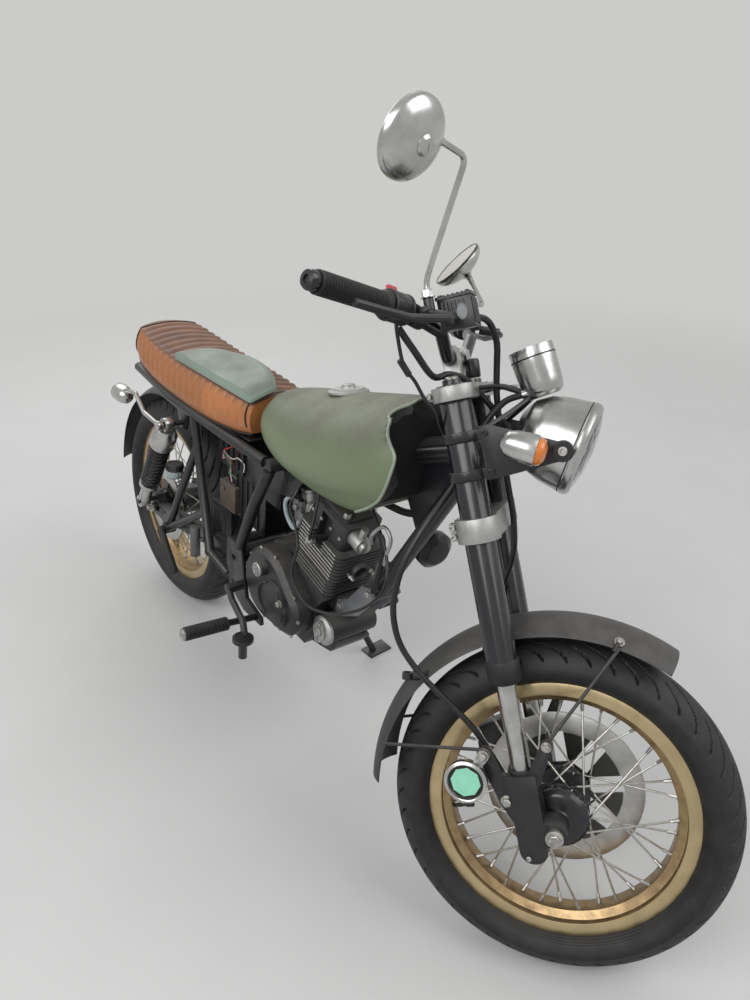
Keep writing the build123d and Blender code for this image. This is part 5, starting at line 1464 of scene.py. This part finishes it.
def reservoir_details():
    """The brake reservoir's ribbed lid with its screws, and the window in its side."""
    lid = Form()
    lid.block((-24, -180, 892.2), (32, -134, 897))
    for k in range(7):
        lid.block((-20 + 7.2 * k, -177, 897), (-17 + 7.2 * k, -137, 899))
    for k in range(6):
        lid.block((29.5, -174 + 6.4 * k, 850), (32, -171 + 6.4 * k, 888))
        lid.block((-16 + 6.4 * k, -180.4, 850), (-13 + 6.4 * k, -178, 888))
    for x, y in ((-17, -173), (25, -173), (-17, -141), (25, -141)):
        lid.cap_screw((x, y, 897), UP, 3.4, 3)
    lid.make("reservoir_lid", ON_FORK, plastic, bevel=0.5)
    ovals = [[Vector((14 + 8.5 * size * cos(a), y, 869 + 12.5 * size * sin(a))) for a in angles(28)]
             for size, y in ((1.0, -178.0), (1.0, -180.6), (0.86, -181.4), (0.8, -180.9), (0.02, -180.9))]
    Form().skin(ovals).make("reservoir_window", ON_FORK, sight_grey)


def switch_details():
    """The switch housings' seams and buttons, and the red kill switch."""
    dark = Form()
    red = Form()
    back = Vector((-0.75, 0, 0.66)).normalized()
    up = Vector((-0.1, 0, 1.0)).normalized()
    for side in (-1, 1):
        inner = on_bar(side, 3, 0.02)
        outer = on_bar(side, 3, 0.235)
        axis = (outer - inner).normalized()
        length = (outer - inner).length
        middle = inner + axis * length * 0.5
        for low, high in ((0, 1), (length - 4.5, length - 3.5)):
            dark.turned([(23.1, low), (23.8, high), (23.8, high + 2.5), (23.1, high + 3.5)], inner, axis, 32)
        dark.turned([(0, 0), (8, 0), (8, 25), (7, 26.5), (0, 26.5)], middle - axis * 7, back, 20)
        if side < 0:
            red.turned([(0, 18), (9.5, 18), (9.5, 27), (8, 29), (0, 29)], middle, up, 24)
            red.block((-10, -3, 27), (10, 3, 33), Matrix.Translation(middle) @ facing(up))
        else:
            dark.disc(7, 18, 27, middle + axis * 8, up, 20)
            dark.disc(5, 18, 28, middle - axis * 10, up, 20)
    dark.make("switch_details", ON_FORK, plastic, bevel=0.4)
    red.make("kill_switch", ON_FORK, red_switch, bevel=0.8)


# Engine details

COVER_BOLTS_R = 68.0
STARTER = Vector((802.0, -79.5, 340.0))


def engine_bolts():
    """The screws of both covers and of the engine plates."""
    bolts = Form()
    for x, z in ((540, 356), (556, 428), (600, 466), (660, 468), (742, 404), (762, 352), (738, 300),
                 (690, 292), (622, 290), (566, 312)):
        on_boss = (x - 640) ** 2 + (z - 375) ** 2 < 5600
        bolts.bolt((x, -118.2 if on_boss else -106, z), RIGHT, 8.5, 5, False)
    bolts.bolt((718, -130.2, 383), RIGHT, 13, 7)
    for a in angles(8, 0.2):
        p = (CRANK_X + COVER_BOLTS_R * cos(a), 116.2, CRANK_Z + COVER_BOLTS_R * sin(a))
        bolts.bolt(p, LEFT, 9, 5.5, False)
    for side in (-1, 1):
        for x, z in ((822, 408), (912, 486)):
            bolts.bolt((x, side * 36.2, z), (0, side, 0), 13, 7)
    bolts.make("engine_bolts", ON_CHASSIS, bolt_steel, bevel=0.3)


def oil_filler():
    """The filler's cap with its cross, and the ribs beside it on the clutch cover."""
    cap = Form()
    cap.turned([(0, 0), (17.5, 0), (17.5, 5), (15.5, 7), (13, 7), (12.4, 5), (0, 5)], (630, -134.1, 430),
               RIGHT, 40)
    for k in range(4):
        spoke = Matrix.Translation((630, -139, 430)) @ Matrix.Rotation(radians(45 * k + 20), 4, "Y")
        cap.block((-12.5, -2.4, -1.8), (12.5, 0.4, 1.8), spoke)
    cap.make("oil_filler", ON_CHASSIS, silver, bevel=0.4)
    rib = Form()
    rib.tube([(664, -131, 412), (640, -131, 398), (628, -131, 372), (634, -131, 344), (658, -131, 326)],
             2.6, 8, 5)
    rib.tube([(700, -131, 400), (712, -131, 388), (726, -131, 366), (728, -131, 340)], 2.2, 8, 5)
    rib.make("cover_ribs", ON_CHASSIS, engine_black)


def starter_plate():
    """The lobed end plate of the starter with its two bolts."""
    lobes = radians(78)
    plate = []
    for a in angles(48):
        r = 21 + 9 * max(0.0, cos(2 * (a - lobes))) ** 1.5
        plate.append((STARTER.x + r * cos(a), STARTER.z + r * sin(a)))
    lobed = Form().prism(plate, STARTER.y + 5.2, STARTER.y)
    for side in (-1, 1):
        lobed.bolt(STARTER + side * 23 * Vector((cos(lobes), 0, sin(lobes))), RIGHT, 8, 4, False)
    lobed.turned([(11, 0), (11, 3), (9, 4), (8, 1), (0, 1)], STARTER, RIGHT, 28)
    lobed.make("starter_plate", ON_CHASSIS, silver, bevel=0.6)


def head_details():
    """Drawn in the cylinder's own frame: nuts, cam box cover, spark plug and the port's studs."""
    nuts = Form()
    for x in (-44, 44):
        for y in (-34, 34):
            nuts.turned([(0, 268.2), (9, 268.2), (9, 276), (7, 279), (0, 279)], (x * 0.8, y, 0), UP,
                        6)
    for x in (-52, -18, 18, 52):
        for side in (-1, 1):
            nuts.bolt((x, side * 52.2, 228), (0, side, 0), 8.5, 5, False)
    for y in (-27, 27):
        nuts.bar((78, y, 140), (100, y, 139), 4.0, 12)
        nuts.bolt((86, y, 139.6), (1, 0, -0.03), 10, 6, False)
    nuts.make("head_nuts", ON_BARREL, bolt_steel, bevel=0.3)
    plug = Form()
    plug.turned([(0, 0), (9, 0), (9, 6), (11, 8), (11, 30), (8.5, 34), (8.5, 46), (0, 46)], (-2, -40, 176),
                (0.1, -0.92, 0.35), 24)
    plug.make("plug_boot", ON_BARREL, rubber)
    top = Form()
    top.turned([(0, 46.2), (9.5, 46.2), (9.5, 60), (7, 63), (0, 63)], (-2, -40, 176), (0.1, -0.92, 0.35), 24)
    top.make("plug_cap", ON_BARREL, silver)
    lead = Form()
    lead.tube([(3, -92, 196), (10, -100, 214), (-10, -84, 250), (-40, -60, 290), (-70, -40, 326)], 3.6, 10,
              6)
    lead.make("plug_lead", ON_BARREL, cable_black)


def carburettor_details():
    """Slide top, choke, float bowl seam and screws, idle screw and clamps."""
    form = Form()
    x, z = 632.0, 562.0
    form.turned([(23.2, 40), (25, 41), (25, 48.5), (20, 52), (9, 54), (9, 60), (5, 62), (0, 62)],
                (x, 0, z), UP, 32)
    clamp = [(25.3, 0), (26.6, 1), (26.6, 9), (25.3, 10)]
    form.turned(clamp, (x + 24, 0, z + 1.4), (1, 0, 0.03), 32)
    form.turned(clamp, (x - 34, 0, z), AHEAD, 32)
    form.block((x - 28, -28, z - 14), (x + 24, 28, z - 10))
    form.turned([(0, 0), (9, 0), (9, 9), (7, 11), (0, 11)], (x - 2, 0, z - 56), (0, 0, -1), 6)
    form.turned([(0, 0), (6, 0), (6, 16), (8, 17), (8, 24), (0, 24)], (x + 4, -24, z + 8), RIGHT, 16)
    form.block((x - 20, -36, z - 6), (x + 14, -25, z + 22))
    form.make("carburettor_details", ON_CHASSIS, silver, bevel=0.8)


def peg_and_pedal():
    """Ribbed foot rubbers and the pedal's toothed pad."""
    form = Form()
    for side in (-1, 1):
        inner = Vector((598, side * 196, 284))
        outer = Vector((598, side * 306, 292))
        axis = (outer - inner).normalized()
        length = (outer - inner).length
        profile = [(8.2, 0), (15, 0)]
        for k in range(int(length / 9)):
            profile += [(16.4, 2 + 9 * k), (16.4, 6.5 + 9 * k), (13.6, 8 + 9 * k), (13.6, 10 + 9 * k)]
        profile += [(15, length - 1), (8.2, length)]
        form.turned(profile, inner, axis, 24)
    form.make("peg_rubbers", ON_CHASSIS, rubber)
    ends = Form()
    for side in (-1, 1):
        ends.turned([(0, 0), (14, 0), (14, 3), (11, 5), (0, 5)], (598, side * 306.2, 292), (0, side, 0.07),
                    24)
    ends.make("peg_ends", ON_CHASSIS, bolt_steel)
    pad = Form()
    for i in range(-4, 5):
        for j in range(-4, 5):
            if i * i + j * j < 19:
                x = 704 + 5.2 * i
                y = -214 + 5.2 * j
                pad.turned([(2.5, 0), (1.1, 3.2), (0, 3.2)], (x, y, 314), UP, 4, 0.78)
    pad.make("pedal_teeth", ON_CHASSIS, black_metal, merge=False)


def under_seat():
    """What shows between the rear frame's tubes: seat pan, battery box, relay box and regulator."""
    dark = Form()
    dark.block((236, -84, 683), (492, 84, 686.5))
    dark.block((-96, -70, 700), (236, 70, 703))
    dark.block((300, -58, 560), (420, 40, 662))
    for k in range(4):
        dark.block((312 + 26 * k, -62, 572), (324 + 26 * k, -58, 650))
    dark.make("battery_box", ON_CHASSIS, plastic, bevel=1.5)
    brown = Form().block((318, -66, 448), (396, -40, 520)).disc(7, 0, 5, (340, -66, 500), RIGHT, 18)
    brown.make("relay_box", ON_CHASSIS, dusty_brown, bevel=2.0)
    fins = Form().block((270, -58, 352), (338, -42, 440))
    for k in range(9):
        fins.block((272 + 7.6 * k, -68, 356), (275.4 + 7.6 * k, -58, 436))
    fins.make("regulator", ON_CHASSIS, grey_plate, bevel=0.5)


def rear_reservoir():
    """The pale band and the ribbed cap of the rear brake's reservoir."""
    foot = (158, -114, 470)
    pot = Form().turned([(22.2, 2), (22.6, 3), (22.6, 18), (22.2, 19)], foot, UP, 32, loop=True)
    pot.make("reservoir_body", ON_CHASSIS, pale_hose)
    ribs = Form()
    for a in angles(24):
        ribs.block((21.6, -1.3, 21), (23.6, 1.3, 37), Matrix.Translation(foot) @ Matrix.Rotation(a, 4, "Z"))
    ribs.make("reservoir_cap_ribs", ON_CHASSIS, plastic)


# Cables, wires and hoses held along their way: name, radius, finish and route
CABLES = [
    ("clutch_line", 3.2, cable_black,
     [(646, -40, 662), (665, -60, 631), (674, -85, 599), (726, -105, 583), (775, -128, 559),
      (775, -140, 509),
      (794, -143, 475), (837, -140, 451), (886, -128, 455), (922, -112, 468), (970, -96, 504),
      (1005, -84, 556),
      (998, -70, 600), (966, -56, 634), (926, -46, 664), (880, -36, 704)]),
    ("throttle_line", 3.4, cable_black,
     [(632, 0, 626), (640, 6, 650), (690, 30, 664), (800, 60, 668), (930, 66, 680), (1000, 60, 720)]),
    ("breather_hose", 6.0, rubber,
     [(905, -28, 628), (930, -30, 622), (938, -34, 580), (930, -34, 520), (905, -30, 470)]),
    ("valve_hose", 3.8, silver,
     [(915, -46, 610), (931, -60, 641), (964, -60, 674), (988, -60, 657), (979, -60, 617), (962, -48, 586)]),
    ("carburettor_hose", 5.0, pale_hose,
     [(634, -40, 604), (612, -55, 580), (618, -55, 545), (650, -55, 525), (672, -55, 556)]),
    ("fuel_hose", 4.5, rubber, [(660, -60, 688), (650, -62, 660), (640, -50, 620), (640, -34, 585)]),
    ("loom", 8.0, cable_black,
     [(980, 20, 690), (900, 34, 660), (760, 40, 650), (640, 56, 640), (520, 60, 630), (400, 64, 650),
      (260, 60, 655)]),
]
WIRES = [("red_wire", (0.45, 0.03, 0.03)), ("pink_wire", (0.62, 0.33, 0.40)),
         ("white_wire", (0.62, 0.60, 0.55)),
         ("brown_wire", (0.16, 0.07, 0.03)), ("green_wire", (0.04, 0.15, 0.06))]


def cables():
    """The cables and hoses, and a few loose coloured wires under the seat."""
    for name, r, look, route in CABLES:
        Form().tube(route, r, 10, 6).make(name, ON_CHASSIS, look, "black_rubber")
    chance = random.Random(5)
    for k, (name, colour) in enumerate(WIRES):
        look = finish(name, colour, 0.45, dust=0.3).material
        route = [Vector((352 + 5 * k, -72 - 3 * k, 612))]
        for _ in range(5):
            step = Vector((chance.uniform(4, 18), chance.uniform(-9, 9), chance.uniform(-22, 14)))
            route.append(route[-1] + step)
        Form().tube(route, 1.6, 8, 6).make(name, ON_CHASSIS, look, "black_rubber")


# Floor, light and camera

CAMERA_FROM_REAR_AXLE = Vector((2.0096, -0.8570, 1.1610))
CAMERA_RIGHT = Vector((0.61379, 0.78947, 0.00143))
CAMERA_DOWN = Vector((0.38216, -0.29554, -0.87556))
FOCAL_PIXELS = 806.3
PHOTO_HEIGHT = 1000.0
SENSOR = 36.0
FLOOR_COLOUR = (0.62, 0.62, 0.61)
BACKGROUND = (0.60, 0.60, 0.59)
WORLD_LIGHT = (0.30, 0.30, 0.31)


def stage():
    """A pale floor that runs out into the background."""
    mesh = bpy.data.meshes.new("floor")
    size = 14.0
    corners = [(-size, -size, 0), (size, -size, 0), (size, size, 0), (-size, size, 0)]
    mesh.from_pydata(corners, [], [(0, 1, 2, 3)])
    floor = bpy.data.objects.new("floor", mesh)
    bpy.context.scene.collection.objects.link(floor)
    look = Look("floor")
    lighter = tuple(c * 1.03 for c in FLOOR_COLOUR)
    look.put("Base Color", look.mix(look.ramp(look.noise(3.0, 6.0), 0.3, 0.7), FLOOR_COLOUR, lighter))
    look.put("Roughness", 0.9)
    fade = look.ramp(look.vector("LENGTH", look.place), 1.9, 4.6, 1.0, 0.0)
    look.put("Alpha", fade)
    mesh.materials.append(look.material)


def lamp(name, at, aim, size, power):
    """A rectangular light that looks at a point."""
    light = bpy.data.lights.new(name, "AREA")
    light.shape = "RECTANGLE"
    light.size, light.size_y = size
    light.energy = power
    holder = bpy.data.objects.new(name, light)
    holder.location = at
    holder.rotation_euler = (Vector(aim) - Vector(at)).to_track_quat("-Z", "Y").to_euler()
    bpy.context.scene.collection.objects.link(holder)


def lights():
    """Window light from the right, two softer lamps, and a backdrop that metal and glass see too."""
    lamp("window_light", (0.6, -3.6, 3.8), (0, 0, 0.5), (4.6, 2.6), 150)
    lamp("sky_light", (3.0, 2.0, 4.0), (0.2, 0, 0.5), (4.0, 3.0), 95)
    lamp("back_light", (-3.4, 1.0, 3.2), (0, 0, 0.6), (3.5, 3.0), 70)
    world = bpy.data.worlds.new("world")
    bpy.context.scene.world = world
    world.use_nodes = True
    tree = world.node_tree
    back = tree.nodes["Background"]
    path = tree.nodes.new("ShaderNodeLightPath")
    seen = path.outputs["Is Camera Ray"]
    for kind in ("Is Glossy Ray", "Is Transmission Ray"):
        either = tree.nodes.new("ShaderNodeMath")
        either.operation = "MAXIMUM"
        tree.links.new(seen, either.inputs[0])
        tree.links.new(path.outputs[kind], either.inputs[1])
        seen = either.outputs[0]
    mix = tree.nodes.new("ShaderNodeMix")
    mix.data_type = "RGBA"
    tree.links.new(seen, mix.inputs[0])
    mix.inputs[6].default_value = (*WORLD_LIGHT, 1)
    mix.inputs[7].default_value = (*BACKGROUND, 1)
    tree.links.new(mix.outputs[2], back.inputs["Color"])
    back.inputs["Strength"].default_value = 1.0


def camera():
    """The photograph's own camera."""
    data = bpy.data.cameras.new("camera")
    data.sensor_width = SENSOR
    data.lens = FOCAL_PIXELS / PHOTO_HEIGHT * SENSOR
    holder = bpy.data.objects.new("camera", data)
    bpy.context.scene.collection.objects.link(holder)
    right = CAMERA_RIGHT.normalized()
    up = -CAMERA_DOWN.normalized()
    back = right.cross(up)
    place = Matrix((right, up, back)).transposed().to_4x4()
    place.translation = rear_axle + CAMERA_FROM_REAR_AXLE
    holder.matrix_world = place
    bpy.context.scene.camera = holder


dress_nodes()
wheels()
chain()
sprocket_teeth()
springs()
seat()
seat_edges()
fuel_tank()
side_covers()
cap_detail()
fork_details()
headlight_details()
steering_details()
indicator_lenses()
gauge_details()
mirror_details()
permit_details()
grip_details()
reservoir_details()
switch_details()
engine_bolts()
oil_filler()
starter_plate()
head_details()
carburettor_details()
peg_and_pedal()
guard_details()
under_seat()
rear_reservoir()
cables()
stage()
lights()
camera()
bpy.context.scene.view_settings.view_transform = "Standard"
